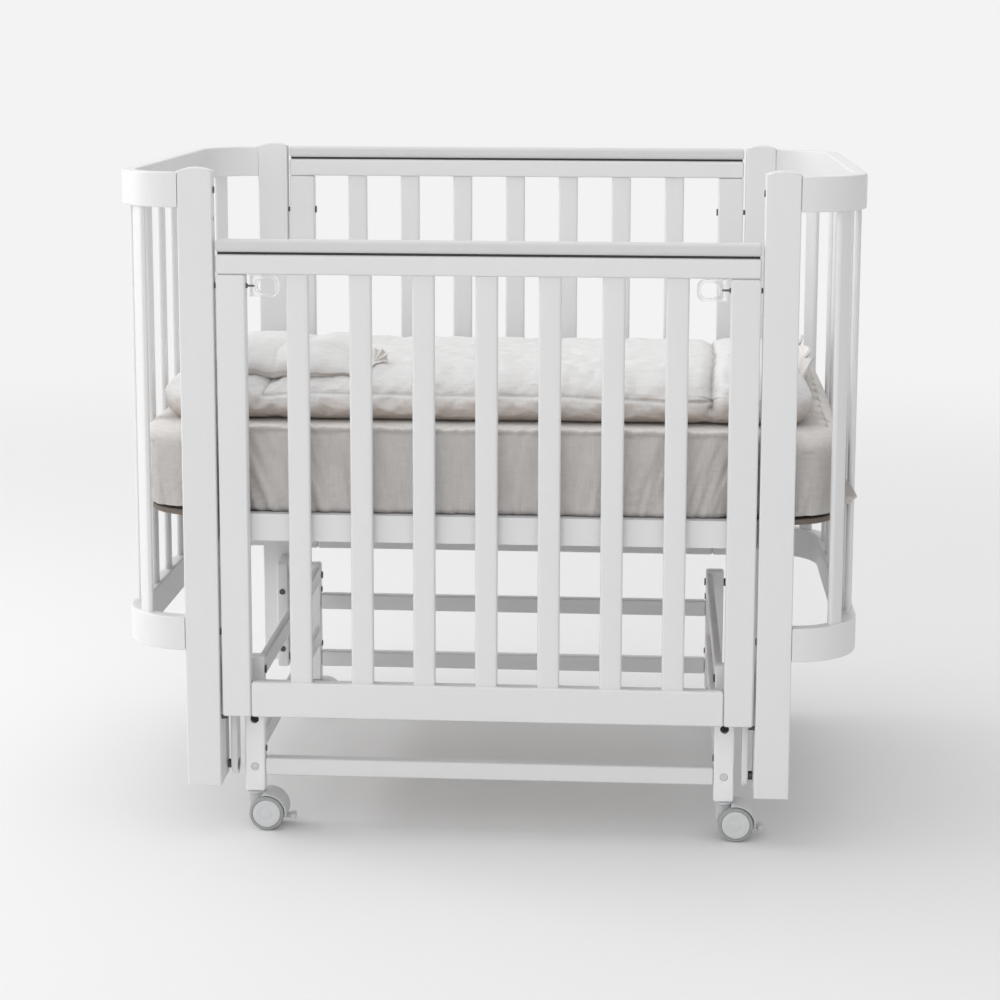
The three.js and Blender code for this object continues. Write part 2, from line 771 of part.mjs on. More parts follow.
function casterHousing() {
  const fenderInner = wheelRadius + fenderGap;
  const fenderOuter = fenderInner + fenderThick;
  const web = new THREE.Shape();
  web.moveTo(axleTrail, wheelRadius);
  web.absarc(brakePivotX, brakePivotZ, brakeEarRadius, -0.75 * Math.PI, 0, false);
  web.absarc(axleTrail, wheelRadius, fenderInner + fenderThick / 2, fenderFrom, fenderTo, false);
  const fender = new THREE.Shape();
  fender.absarc(axleTrail, wheelRadius, fenderOuter, fenderFrom, fenderTo, false);
  fender.absarc(axleTrail, wheelRadius, fenderInner, fenderTo, fenderFrom, true);
  const plain = { bevelEnabled: false, curveSegments: bendArc };
  const webGeometry = new THREE.ExtrudeGeometry(web, { ...plain, depth: webThick });
  const fenderGeometry = new THREE.ExtrudeGeometry(fender, { ...plain, depth: fenderWidth });
  placed(webGeometry, 0, 0, -webThick / 2).applyMatrix4(facings.front);
  placed(fenderGeometry, 0, 0, -fenderWidth / 2).applyMatrix4(facings.front);
  const neckFoot = wheelRadius + axleRadius;
  const neck = new THREE.BoxGeometry(neckWidth, webThick, plateTop - neckFoot);
  const plate = rod(casterPlateRadius, casterPlateThick, axisZ, 0, 0, plateTop - casterPlateThick / 2, discSides);
  const stem = rod(stemRadius, stemLength + overrun, axisZ, 0, 0, plateTop + (stemLength - overrun) / 2);
  const boss = rod(webBossRadius, webThick, axisY, axleTrail, 0, wheelRadius, discSides);
  const axleBore = rod(axleRadius + axleClearance, webThick + 2 * overrun, axisY, axleTrail, 0, wheelRadius);
  const earBore = rod(brakePivotRadius + brakeClearance, webThick + 2 * overrun, axisY, brakePivotX, 0, brakePivotZ);
  const slotReach = brakeReach + brakePadLength;
  const slot = new THREE.BoxGeometry(slotReach, brakeThick + 2 * brakeClearance, 2 * brakeEarRadius + brakeReach);
  placed(slot, brakePivotX - brakeEarRadius - brakeClearance + slotReach / 2, 0, brakePivotZ);
  return geometryOf(
    solid(webGeometry)
      .add(boss)
      .add(solid(placed(neck, 0, 0, (plateTop + neckFoot) / 2)))
      .subtract(solid(slot))
      .add(solid(fenderGeometry))
      .add(plate)
      .add(stem)
      .subtract(axleBore)
      .subtract(earBore),
  );
}

// One wheel's outline from its inner face round the tread to its recessed hub disc, from the axis out.
function wheelProfile() {
  const half = wheelThick / 2;
  const tread = wheelRadius;
  return [
    [0, -half],
    [tread - treadRound, -half],
    [tread, treadRound - half],
    [tread, half - treadRound],
    [tread - treadRound, half],
    [hubRadius, half],
    [hubRadius - hubRecess, half - hubRecess],
    [0, half - hubRecess],
  ].map(([radius, along]) => new THREE.Vector2(radius, along));
}

function casterWheels() {
  const wheel = new THREE.LatheGeometry(wheelProfile(), wheelSides);
  const outward = solid(placed(wheel.clone(), 0, wheelSpacing / 2, 0));
  const inward = solid(placed(wheel.clone().rotateX(Math.PI), 0, -wheelSpacing / 2, 0));
  const axle = rod(axleRadius, wheelSpacing, axisY, 0, 0, 0);
  const pair = geometryOf(outward.add(inward).add(axle));
  return placed(pair, axleTrail, 0, wheelRadius);
}

// The brake lever turns on a pin between the housing's ears, and its pad stands out behind the wheels.
function casterBrake() {
  const outline = new THREE.Shape();
  outline.absarc(0, 0, brakeRadius, Math.PI / 2, 1.5 * Math.PI, false);
  outline.absarc(brakeReach, 0, brakeRadius, -Math.PI / 2, Math.PI / 2, false);
  const lever = slab(outline, brakeThick, "front", brakeRadius / 6, softArc);
  const pad = slab(
    roundedOutline(brakePadLength, brakePadWidth, brakeRadius),
    2 * brakeRadius,
    "plan",
    brakeRadius / 3,
  );
  const pin = rod(brakePivotRadius, webThick, axisY, 0, 0, 0);
  const made = geometryOf(
    solid(lever)
      .add(solid(placed(pad, brakeReach, 0, 0)))
      .add(pin),
  );
  return placed(made, brakePivotX, 0, brakePivotZ);
}

const crib = new THREE.Group();

function addMesh(name, geometry, finish, parent = crib) {
  const mesh = new THREE.Mesh(geometry, new THREE.MeshStandardMaterial(finishes[finish]));
  mesh.name = name;
  parent.add(mesh);
  return mesh;
}

const sides = { left: -1, right: 1 };
const rows = { front: -1, rear: 1 };
const frontPost = post(true);
const rearPost = post(false);
const cornerPieces = { bracket: bracket(), link: link(), leg: leg() };
const casterPieces = {
  housing: [casterHousing(), "casterShell"],
  wheels: [casterWheels(), "wheel"],
  brake: [casterBrake(), "casterShell"],
};

for (const [row, sy] of Object.entries(rows)) {
  for (const [side, sx] of Object.entries(sides)) {
    const corner = new THREE.Group();
    corner.scale.set(sx, sy, 1);
    crib.add(corner);
    addMesh(`post_${row}_${side}`, row === "front" ? frontPost : rearPost, "paint", corner);
    for (const [name, geometry] of Object.entries(cornerPieces)) {
      addMesh(`${name}_${row}_${side}`, geometry, "paint", corner);
    }
    const caster = new THREE.Group();
    caster.position.set(sx * legMiddle, sy * pivotY, 0);
    crib.add(caster);
    for (const [name, [geometry, finish]] of Object.entries(casterPieces)) {
      addMesh(`caster_${name}_${row}_${side}`, geometry, finish, caster);
    }
  }
}

const railPieces = {
  end_top_rail: geometryOf(solid(endRail(endTopRailFoot))),
  end_slat_rail: endSlatRail(),
  lower_side_rail: sideRail(lowerSideRailFoot),
  upper_side_rail: sideRail(upperSideRailFoot),
};
for (const [side, sx] of Object.entries(sides)) {
  for (const [name, geometry] of Object.entries(railPieces)) {
    addMesh(`${name}_${side}`, geometry, "paint").scale.x = sx;
  }
}

const lengthwisePieces = {
  lower_stretcher: stretcher(lowerStretcherFoot),
  upper_stretcher: stretcher(upperStretcherFoot),
  base_rail: baseRail(),
};
for (const [row, sy] of Object.entries(rows)) {
  for (const [name, geometry] of Object.entries(lengthwisePieces)) {
    addMesh(`${name}_${row}`, geometry, "paint").scale.y = sy;
  }
}

const stiles = { front: slidingStile(), rear: fixedStile() };
const panelPieces = {
  rail_cap: [panelCap(), "cap"],
  top_rail: [panelTopRail(), "paint"],
  slat_rail: [panelSlatRail(), "paint"],
};
const latchPull = latch();
const panelFoots = { front: panelLoweredFoot, rear: panelLoweredFoot + panelTravel };
for (const [row, sy] of Object.entries(rows)) {
  const panel = new THREE.Group();
  panel.position.set(0, sy * panelMiddle, panelFoots[row]);
  crib.add(panel);
  for (const [name, [geometry, finish]] of Object.entries(panelPieces)) {
    addMesh(`${row}_${name}`, geometry, finish, panel);
  }
  for (const [side, sx] of Object.entries(sides)) {
    addMesh(`${row}_stile_${side}`, stiles[row], "paint", panel).scale.x = sx;
    if (row === "front") addMesh(`latch_${side}`, latchPull, "latch", panel).scale.x = sx;
  }
}

addMesh("base_board", baseBoard(), "board");
addMesh("mattress", mattress(), "sheet");
addMesh("quilt", quilt(), "cotton");
addMesh("bolster", bolster(), "cotton");
addMesh("pillow", pillow(), "cotton");

export default crib;
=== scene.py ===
# %% [markdown]
# # A pendulum crib, dressed for a studio picture
#
# The crib hangs on four links over a low stand on casters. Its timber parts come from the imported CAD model
# and only get their paint here. Bedding, caster mouldings, bolts and latches are modelled in this file,
# because their look is soft, round or small.

import math

import bmesh
import bpy
import numpy as np
from mathutils import Matrix, Vector
from mathutils.bvhtree import BVHTree


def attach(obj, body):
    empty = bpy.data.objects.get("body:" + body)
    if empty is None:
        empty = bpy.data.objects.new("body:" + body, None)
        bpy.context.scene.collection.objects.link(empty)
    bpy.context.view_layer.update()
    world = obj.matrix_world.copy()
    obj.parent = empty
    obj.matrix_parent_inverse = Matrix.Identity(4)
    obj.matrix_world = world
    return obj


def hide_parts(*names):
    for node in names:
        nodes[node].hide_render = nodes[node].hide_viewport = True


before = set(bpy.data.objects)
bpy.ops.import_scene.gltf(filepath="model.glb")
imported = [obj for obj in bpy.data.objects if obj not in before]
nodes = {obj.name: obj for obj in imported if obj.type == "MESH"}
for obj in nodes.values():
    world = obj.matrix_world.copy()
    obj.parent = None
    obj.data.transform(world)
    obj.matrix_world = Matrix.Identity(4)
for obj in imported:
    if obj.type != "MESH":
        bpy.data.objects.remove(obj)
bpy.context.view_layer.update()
scene = bpy.context.scene

# %% [markdown]
# Everything below is in metres, in the frame of the CAD model: X along the crib, Y from its front to its rear
# and Z up. The sizes here are those of the solids that the new pieces sit on.

# %% Sizes shared by several pieces
MM = 0.001
SIDES = {"left": -1, "right": 1}
ROWS = {"front": -1, "rear": 1}
CORNERS = [(row, side, x_sign, y_sign) for row, y_sign in ROWS.items() for side, x_sign in SIDES.items()]
POST_INNER = 375 * MM
PANEL_MIDDLE = 328 * MM
PANEL_HALF = 371.5 * MM
STILE_INNER = 331 * MM
LOWERED_FOOT = 178.5 * MM
RAISED_FOOT = 270.5 * MM
LEG_MIDDLE = 334.5 * MM
LEG_INNER = 320 * MM
LEG_OUTER = 349 * MM
PIVOT_Y = 283 * MM
UPPER_PIVOT = 233 * MM
LOWER_PIVOT = 92 * MM
WHEEL_RADIUS = 25 * MM
AXLE_TRAIL = 17.5 * MM
CAP_LEDGE = 656.2 * MM
print("the crib's links are", round((UPPER_PIVOT - LOWER_PIVOT) / MM), "mm between pivots")

# %% [markdown]
# The camera stands a little right of the middle and looks down by about nine degrees through a long lens.
# A small lens shift keeps the uprights nearly parallel, as a view camera's does.

# %% Camera
CAMERA_AT = (0.2211, -3.4229, 1.1442)
CAMERA_YAW = math.radians(3.75)
CAMERA_PITCH = math.radians(8.847)
CAMERA_ROLL = math.radians(0.139)
SENSOR_WIDTH = 36
FOCAL_SHARE = 2.2915
LENS_SHIFT = -0.12

camera_data = bpy.data.cameras.new("camera")
camera = bpy.data.objects.new("camera", camera_data)
scene.collection.objects.link(camera)
camera_data.sensor_width = SENSOR_WIDTH
camera_data.lens = SENSOR_WIDTH * FOCAL_SHARE
camera_data.shift_y = LENS_SHIFT
yaw = Matrix.Rotation(CAMERA_YAW, 4, "Z")
tilt = Matrix.Rotation(math.pi / 2 - CAMERA_PITCH, 4, "X")
roll = Matrix.Rotation(CAMERA_ROLL, 4, "Z")
camera.matrix_world = Matrix.Translation(CAMERA_AT) @ yaw @ tilt @ roll
scene.camera = camera
print("lens", round(camera_data.lens, 1), "mm")

# %% [markdown]
# A material in Blender is a small network of nodes. The helpers here only save typing: one makes a node and
# feeds its sockets, and one makes a node group, which is a piece of network that several materials share.

# %% Helpers for node networks


def add_node(tree, kind, feeds=None, **settings):
    """A node with its settings, whose inputs take values or other nodes' outputs."""
    node = tree.nodes.new(kind)
    for name, value in settings.items():
        setattr(node, name, value)
    for socket, value in (feeds or {}).items():
        if isinstance(value, bpy.types.NodeSocket):
            tree.links.new(value, node.inputs[socket])
        else:
            node.inputs[socket].default_value = value
    return node


def combine(tree, operation, first, second=0.0, third=None):
    """The output of a Math node."""
    feeds = {0: first, 1: second}
    if third is not None:
        feeds[2] = third
    return add_node(tree, "ShaderNodeMath", feeds, operation=operation).outputs[0]


def noise(tree, place, scale, detail):
    """The grey value of a Noise texture."""
    feeds = {"Vector": place, "Scale": scale, "Detail": detail}
    return add_node(tree, "ShaderNodeTexNoise", feeds).outputs[0]


def stretch_place(tree, place, factors):
    """A place whose X, Y and Z are multiplied by their own factors."""
    return add_node(tree, "ShaderNodeVectorMath", {0: place, 1: factors}, operation="MULTIPLY").outputs[0]


def component(tree, vector, axis):
    """One of a vector's three values."""
    return add_node(tree, "ShaderNodeSeparateXYZ", {0: vector}).outputs[axis]


def smooth_range(tree, value, start, end):
    """From 0 at start to 1 at end, smoothly."""
    feeds = {"Value": value, "From Min": start, "From Max": end}
    return add_node(tree, "ShaderNodeMapRange", feeds, interpolation_type="SMOOTHSTEP").outputs[0]


def start_group(name, inputs, outputs):
    """A shader node group with named sockets. Returns its tree, its input sockets and its output node."""
    tree = bpy.data.node_groups.new(name, "ShaderNodeTree")
    for label, kind, value in inputs:
        socket = tree.interface.new_socket(label, in_out="INPUT", socket_type=kind)
        if value is not None:
            socket.default_value = value
    for label, kind in outputs:
        tree.interface.new_socket(label, in_out="OUTPUT", socket_type=kind)
    given = tree.nodes.new("NodeGroupInput").outputs
    return tree, given, tree.nodes.new("NodeGroupOutput")


def put_out(tree, result, values):
    """Link values to a group's outputs by their labels."""
    for label, value in values.items():
        tree.links.new(value, result.inputs[label])
    print("group:", tree.name)


def use_group(tree, group, feeds):
    """The outputs of a group placed in a tree."""
    return add_node(tree, "ShaderNodeGroup", feeds, node_tree=group).outputs


VECTOR, FLOAT = "NodeSocketVector", "NodeSocketFloat"

# %% [markdown]
# Sprayed satin paint is never quite flat. It carries the faint grain of the wood below it, stretched along
# the board, and a fine orange peel of its own. The group puts out that relief as a height, with a tone and a
# gloss that wander by a few hundredths.

# %% Group: painted timber
paint_film, given, result = start_group(
    "painted timber",
    [("Place", VECTOR, None), ("Stretch", VECTOR, (1, 1, 1)), ("Grain", FLOAT, 0.6), ("Peel", FLOAT, 0.4)],
    [("Height", FLOAT), ("Tone", FLOAT), ("Gloss", FLOAT)],
)
grain = noise(paint_film, stretch_place(paint_film, given["Place"], given["Stretch"]), 260, 3)
peel = noise(paint_film, given["Place"], 950, 2)
cloud = noise(paint_film, given["Place"], 5, 2)
height = combine(
    paint_film, "MULTIPLY_ADD", peel, given["Peel"], combine(paint_film, "MULTIPLY", grain, given["Grain"])
)
tone = combine(paint_film, "MULTIPLY_ADD", cloud, 0.03, 0.985)
gloss = combine(paint_film, "MULTIPLY_ADD", cloud, 0.12, -0.06)
put_out(paint_film, result, {"Height": height, "Tone": tone, "Gloss": gloss})

# %% [markdown]
# Bolts, spacers and stop pins are one solid with the timber that holds them. They are told apart by where
# they are: steel lies nearer to the crib's middle, or further from it, than the board's own faces. The group
# turns two limits along X into a mask.

# %% Group: steel beyond the board's faces
steel_mask, given, result = start_group(
    "steel beyond the board",
    [("Place", VECTOR, None), ("Inner face", FLOAT, 0.0), ("Outer face", FLOAT, 1.0)],
    [("Mask", FLOAT)],
)
distance = combine(steel_mask, "ABSOLUTE", component(steel_mask, given["Place"], "X"))
inside = combine(steel_mask, "LESS_THAN", distance, given["Inner face"])
outside = combine(steel_mask, "GREATER_THAN", distance, given["Outer face"])
put_out(steel_mask, result, {"Mask": combine(steel_mask, "MAXIMUM", inside, outside)})

# %% [markdown]
# Woven cloth shows its threads close by, and from a step away only their slubs, the thicker runs in single
# threads. Two sets of bands at right angles give the weave, and a stretched noise gives the slubs. A softer
# noise wrinkles the whole.

# %% Group: woven cloth
FLAT_SLUBS, TALL_SLUBS = (40, 40, 420), (420, 420, 40)
weave, given, result = start_group(
    "woven cloth",
    [
        ("Place", VECTOR, None),
        ("Threads per metre", FLOAT, 900.0),
        ("Slub", FLOAT, 0.5),
        ("Crinkle size", FLOAT, 120.0),
        ("Crinkle", FLOAT, 0.5),
    ],
    [("Height", FLOAT), ("Tone", FLOAT)],
)
turn = combine(weave, "MULTIPLY", given["Threads per metre"], 2 * math.pi)
parts = add_node(weave, "ShaderNodeSeparateXYZ", {0: given["Place"]}).outputs
bands = []
for direction in ("X", "Z"):
    run = combine(weave, "ADD", parts[direction], parts["Y"])
    bands.append(combine(weave, "SINE", combine(weave, "MULTIPLY", run, turn)))
threads = combine(weave, "MULTIPLY", *bands)
slub_a = noise(weave, stretch_place(weave, given["Place"], FLAT_SLUBS), 1, 2)
slub_b = noise(weave, stretch_place(weave, given["Place"], TALL_SLUBS), 1, 2)
slubs = combine(weave, "ADD", slub_a, slub_b)
crinkle = noise(weave, given["Place"], given["Crinkle size"], 3)
raised = combine(weave, "MULTIPLY_ADD", slubs, given["Slub"], combine(weave, "MULTIPLY", threads, 0.12))
height = combine(weave, "MULTIPLY_ADD", crinkle, given["Crinkle"], raised)
tone = combine(weave, "MULTIPLY_ADD", combine(weave, "SUBTRACT", slubs, 1.0), 0.16, 1.0)
put_out(weave, result, {"Height": height, "Tone": tone})

# %% [markdown]
# Moulded plastic has the fine matt texture of its mould and a little unevenness in its gloss. The same group
# serves the casters, the rail caps and, with other values, the steel of bolts and latch pins.

# %% Group: moulded texture
mould, given, result = start_group(
    "moulded texture",
    [("Place", VECTOR, None), ("Fineness", FLOAT, 1200.0), ("Depth", FLOAT, 0.5)],
    [("Height", FLOAT), ("Tone", FLOAT), ("Gloss", FLOAT)],
)
fine = noise(mould, given["Place"], given["Fineness"], 2)
broad = noise(mould, given["Place"], 24, 2)
height = combine(mould, "MULTIPLY", fine, given["Depth"])
tone = combine(mould, "MULTIPLY_ADD", broad, 0.06, 0.97)
gloss = combine(mould, "MULTIPLY_ADD", broad, 0.14, -0.07)
put_out(mould, result, {"Height": height, "Tone": tone, "Gloss": gloss})

# %% [markdown]
# Each finish is a Principled BSDF whose colour, roughness and relief come from the groups. Colours are given
# as the values that they have on a screen, and turned into the linear ones that Blender works with.

# %% Helpers for finishes


def linear(*levels):
    """Screen colour levels from 0 to 255 as linear values."""
    shares = [level / 255 for level in levels]
    return [s / 12.92 if s <= 0.04045 else ((s + 0.055) / 1.055) ** 2.4 for s in shares]


def start_finish(name, roughness, **sockets):
    """A material, its tree, its Principled BSDF and the object's own coordinates."""
    material = bpy.data.materials.new(name)
    material.use_nodes = True
    tree = material.node_tree
    shader = tree.nodes["Principled BSDF"]
    shader.inputs["Roughness"].default_value = roughness
    for socket, value in sockets.items():
        shader.inputs[socket.replace("_", " ")].default_value = value
    place = tree.nodes.new("ShaderNodeTexCoord").outputs["Object"]
    return material, tree, shader, place


def tinted(tree, colour, tone):
    """A colour, as a socket or three linear values, whose brightness follows a tone."""
    if not isinstance(colour, bpy.types.NodeSocket):
        colour = tuple(colour)
    return add_node(tree, "ShaderNodeVectorMath", {0: colour, "Scale": tone}, operation="SCALE").outputs[0]


def mix_colour(tree, factor, first, second):
    """A blend of two colours by a factor, each a socket or three linear values."""
    mix = tree.nodes.new("ShaderNodeMix")
    mix.data_type = "RGBA"
    tree.links.new(factor, mix.inputs["Factor"])
    for socket, value in ((mix.inputs[6], first), (mix.inputs[7], second)):
        if isinstance(value, bpy.types.NodeSocket):
            tree.links.new(value, socket)
        else:
            socket.default_value = (*value, 1)
    return mix.outputs[2]


def relief(tree, shader, height, depth):
    """Bumps on a shader's surface, from a height of 0 to 1 and their depth in metres."""
    bump = add_node(tree, "ShaderNodeBump", {"Height": height, "Distance": depth, "Strength": 1.0})
    tree.links.new(bump.outputs[0], shader.inputs["Normal"])


# %% [markdown]
# Painted boards differ in the way that their grain runs and in where steel shows through, and the legs' paint
# is lighter, as painted light from the floor. One function makes them all. It shrinks the noise along the
# grain, and lets the steel mask choose between two colours.

# %% Painted timber, by the direction of its grain
PAINT_COLOUR = linear(229, 229, 230)
# The legs' paint is lighter than the rest, as painted light from the floor.
LEG_PAINTED_LIGHT_COLOUR = linear(244, 244, 245)
STEEL_COLOUR = linear(92, 90, 88)
PAINT_ROUGHNESS = 0.42
STEEL_MARGIN = 0.2 * MM


def paint_finish(name, stretch, inner_face=0.0, outer_face=1.0, colour=PAINT_COLOUR):
    """Satin paint over timber whose grain runs where stretch is small, with steel beyond its two faces."""
    material, tree, shader, place = start_finish(name, PAINT_ROUGHNESS)
    film = use_group(tree, paint_film, {"Place": place, "Stretch": stretch, "Grain": 0.5, "Peel": 0.35})
    limits = {"Place": place, "Inner face": inner_face, "Outer face": outer_face}
    mask = use_group(tree, steel_mask, limits)["Mask"]
    paint = tinted(tree, colour, film["Tone"])
    tree.links.new(mix_colour(tree, mask, paint, STEEL_COLOUR), shader.inputs["Base Color"])
    tree.links.new(mask, shader.inputs["Metallic"])
    roughness = combine(tree, "ADD", film["Gloss"], PAINT_ROUGHNESS)
    tree.links.new(roughness, shader.inputs["Roughness"])
    relief(tree, shader, film["Height"], 0.25 * MM)
    return material


ALONG_X, ALONG_Y, ALONG_Z = (0.06, 1, 1), (1, 0.06, 1), (1, 1, 0.06)
paint_along_x = paint_finish("paint, grain along X", ALONG_X)
paint_along_y = paint_finish("paint, grain along Y", ALONG_Y)
paint_along_z = paint_finish("paint, grain along Z", ALONG_Z)
paint_with_inner_steel = paint_finish("paint, steel inwards", ALONG_Z, POST_INNER - STEEL_MARGIN)
leg_paint = paint_finish(
    "paint lightened as painted light, steel on both faces", ALONG_Z, LEG_INNER - STEEL_MARGIN, LEG_OUTER + STEEL_MARGIN, LEG_PAINTED_LIGHT_COLOUR
)
stile_paint = paint_finish(
    "paint, bolted stile", ALONG_Z, STILE_INNER - STEEL_MARGIN, PANEL_HALF + STEEL_MARGIN
)
print("paints:", sum(m.name.startswith("paint") for m in bpy.data.materials))

# %% [markdown]
# Plastic and steel share one function, because both have a fine texture and a gloss that wanders a little.
# The rail caps add one thing: below a height their neck is painted dark, as painted shade in the groove.

# %% Moulded plastic and steel
CAP_COLOUR = linear(214, 214, 215)
# Painted shade for the groove under the rail caps.
CAP_SHADOW = linear(52, 51, 50)


def moulded_finish(name, colour, roughness, fineness=1100, depth=0.0001, painted_shade_below=None, **sockets):
    """Plastic or metal with a fine texture and a gloss that wanders a little, and painted shade below a
    height.
    """
    material, tree, shader, place = start_finish(name, roughness, **sockets)
    texture = use_group(tree, mould, {"Place": place, "Fineness": fineness, "Depth": 0.5})
    colour = tinted(tree, colour, texture["Tone"])
    # Painted shade: below the cap's ledge the colour turns near-black.
    if painted_shade_below is not None:
        below = combine(tree, "LESS_THAN", component(tree, place, "Z"), painted_shade_below)
        colour = mix_colour(tree, below, colour, CAP_SHADOW)
    tree.links.new(colour, shader.inputs["Base Color"])
    tree.links.new(combine(tree, "ADD", texture["Gloss"], roughness), shader.inputs["Roughness"])
    relief(tree, shader, texture["Height"], depth)
    return material


def rail_cap_finish(name, panel_foot):
    """The cap's white plastic, with painted shade in the groove between its head and the rail below."""
    return moulded_finish(name, CAP_COLOUR, 0.5, painted_shade_below=panel_foot + CAP_LEDGE)


cap_plastic = moulded_finish("matt white cap", CAP_COLOUR, 0.5)
front_cap_plastic = rail_cap_finish("front rail cap", LOWERED_FOOT)
rear_cap_plastic = rail_cap_finish("rear rail cap", RAISED_FOOT)
shell_plastic = moulded_finish("caster shell", linear(208, 209, 210), 0.4)
hub_plastic = moulded_finish("wheel disc", linear(212, 213, 214), 0.38)
tread_rubber = moulded_finish("wheel tread", linear(163, 164, 165), 0.62, 700, 0.0002)
pull_plastic = moulded_finish(
    "latch pull", linear(252, 252, 252), 0.09, 500, 0.00002, Transmission_Weight=0.95, IOR=1.42
)
dark_steel = moulded_finish("dark steel", linear(98, 97, 96), 0.36, 900, 0.00005, Metallic=1.0)
# Painted shade: the bolts and discs at the floors of the legs' bores are near-black.
hole_shade = moulded_finish("bolt recess", linear(46, 45, 44), 0.6, 600)
print("plastics and steels made")

# %% [markdown]
# Raw fibreboard shows its short fibres. Cloth is the weave of its group under a little sheen, the fuzz that
# catches light at a glancing angle. Where it faces down, or lies in a crease, its colour is darkened towards
# a second colour, as painted shade.

# %% Raw board and cloth


def board_finish():
    """Raw fibreboard: a mottled brown with short fibres."""
    material, tree, shader, place = start_finish("raw board", 0.75)
    fibres, blotch = noise(tree, place, 900, 4), noise(tree, place, 45, 3)
    tone = combine(tree, "MULTIPLY_ADD", fibres, 0.35, combine(tree, "MULTIPLY_ADD", blotch, 0.3, 0.65))
    tree.links.new(tinted(tree, linear(128, 117, 108), tone), shader.inputs["Base Color"])
    tree.links.new(combine(tree, "MULTIPLY_ADD", fibres, 0.1, 0.7), shader.inputs["Roughness"])
    relief(tree, shader, fibres, 0.6 * MM)
    return material


def cloth_finish(name, colour, shade, threads, slub, crinkle_size, crinkle, depth, sheen, turn=(-0.7, 0.8)):
    """Woven cotton with slubs, crinkles and fuzz, and painted shade where it faces down and in creases."""
    material, tree, shader, place = start_finish(name, 0.92, Sheen_Weight=sheen, Sheen_Roughness=0.55)
    shader.inputs["Specular IOR Level"].default_value = 0.25
    feeds = {
        "Place": place,
        "Threads per metre": threads,
        "Slub": slub,
        "Crinkle size": crinkle_size,
        "Crinkle": crinkle,
    }
    cloth = use_group(tree, weave, feeds)
    # Painted shade: the colour goes over to the shade colour as the surface faces down, and darkens in
    # creases.
    normal = tree.nodes.new("ShaderNodeNewGeometry").outputs["Normal"]
    facing = smooth_range(tree, component(tree, normal, "Z"), *turn)
    crease = add_node(tree, "ShaderNodeAttribute", attribute_name="crease").outputs["Fac"]
    tone = combine(tree, "MULTIPLY", cloth["Tone"], combine(tree, "MULTIPLY_ADD", crease, -0.5, 1.0))
    colour_with_painted_shade = mix_colour(tree, facing, shade, colour)
    tree.links.new(tinted(tree, colour_with_painted_shade, tone), shader.inputs["Base Color"])
    relief(tree, shader, cloth["Height"], depth)
    return material


raw_board = board_finish()
# The second colour of each cloth is its painted shade.
sheet_cloth = cloth_finish(
    "fitted sheet", linear(238, 234, 230), linear(178, 174, 172), 1300, 1.3, 60, 0.8, 0.0009, 0.25
)
quilt_cloth = cloth_finish(
    "muslin", linear(251, 250, 249), linear(190, 177, 168), 1000, 0.45, 85, 1.0, 0.0012, 0.3, (-1.0, 0.75)
)
tie_cloth = cloth_finish(
    "ribbon ties", linear(244, 241, 239), linear(214, 207, 202), 1300, 0.35, 110, 0.8, 0.0008, 0.25
)
print("cloths made")

# %% [markdown]
# The timber of the CAD model keeps its shape. It only gets its paint, with the grain along each board. Soft
# shading across the eased edges comes from weighted normals, which leave the wide faces flat.

# %% Paint the timber
TIMBER = {
    "post_front": paint_with_inner_steel,
    "post_rear": paint_along_z,
    "bracket": paint_with_inner_steel,
    "link": paint_along_z,
    "leg": leg_paint,
    "lower_stretcher": paint_along_x,
    "upper_stretcher": paint_along_x,
    "lower_side_rail": paint_along_y,
    "upper_side_rail": paint_along_y,
    "end_top_rail": paint_along_y,
    "end_slat_rail": paint_along_z,
    "front_top_rail": paint_along_x,
    "rear_top_rail": paint_along_x,
    "front_slat_rail": paint_along_z,
    "rear_slat_rail": paint_along_z,
    "front_stile": paint_along_z,
    "rear_stile": stile_paint,
    "base_rail": paint_along_x,
    "base_board": raw_board,
    "front_rail_cap": front_cap_plastic,
    "rear_rail_cap": rear_cap_plastic,
}
WELD_DISTANCE = 0.01 * MM
SHARP_EDGE = math.radians(50)


def soft_edges(limit):
    """A modifier that welds the CAD's facets and shades them smooth, except across edges above a limit."""
    tree = bpy.data.node_groups.new("soft edges", "GeometryNodeTree")
    tree.interface.new_socket("Geometry", in_out="INPUT", socket_type="NodeSocketGeometry")
    tree.interface.new_socket("Geometry", in_out="OUTPUT", socket_type="NodeSocketGeometry")
    given = tree.nodes.new("NodeGroupInput").outputs[0]
    feeds = {"Geometry": given, "Distance": WELD_DISTANCE}
    welded = add_node(tree, "GeometryNodeMergeByDistance", feeds).outputs[0]
    feeds = {"Geometry": welded, "Shade Smooth": True}
    smooth = add_node(tree, "GeometryNodeSetShadeSmooth", feeds).outputs[0]
    angle = add_node(tree, "GeometryNodeInputMeshEdgeAngle").outputs["Unsigned Angle"]
    feeds = {"A": angle, "B": limit}
    sharp = add_node(tree, "FunctionNodeCompare", feeds, operation="GREATER_THAN").outputs[0]
    feeds = {"Geometry": smooth, "Selection": sharp, "Shade Smooth": False}
    edged = add_node(tree, "GeometryNodeSetShadeSmooth", feeds, domain="EDGE").outputs[0]
    tree.links.new(edged, tree.nodes.new("NodeGroupOutput").inputs[0])
    return tree


eased_shading = soft_edges(SHARP_EDGE)


def dress(node, material):
    """Give a CAD node its finish, and shading that is soft over its eased edges alone."""
    solid = nodes[node]
    solid.data.materials.clear()
    solid.data.materials.append(material)
    solid.modifiers.new("soft edges", "NODES").node_group = eased_shading
    weights = solid.modifiers.new("weighted normals", "WEIGHTED_NORMAL")
    weights.mode = "FACE_AREA_WITH_ANGLE"
    weights.keep_sharp = True


painted = 0
for node in nodes:
    finish = next((TIMBER[start] for start in TIMBER if node.startswith(start)), None)
    if finish:
        dress(node, finish)
        painted += 1
print("timber pieces painted:", painted)
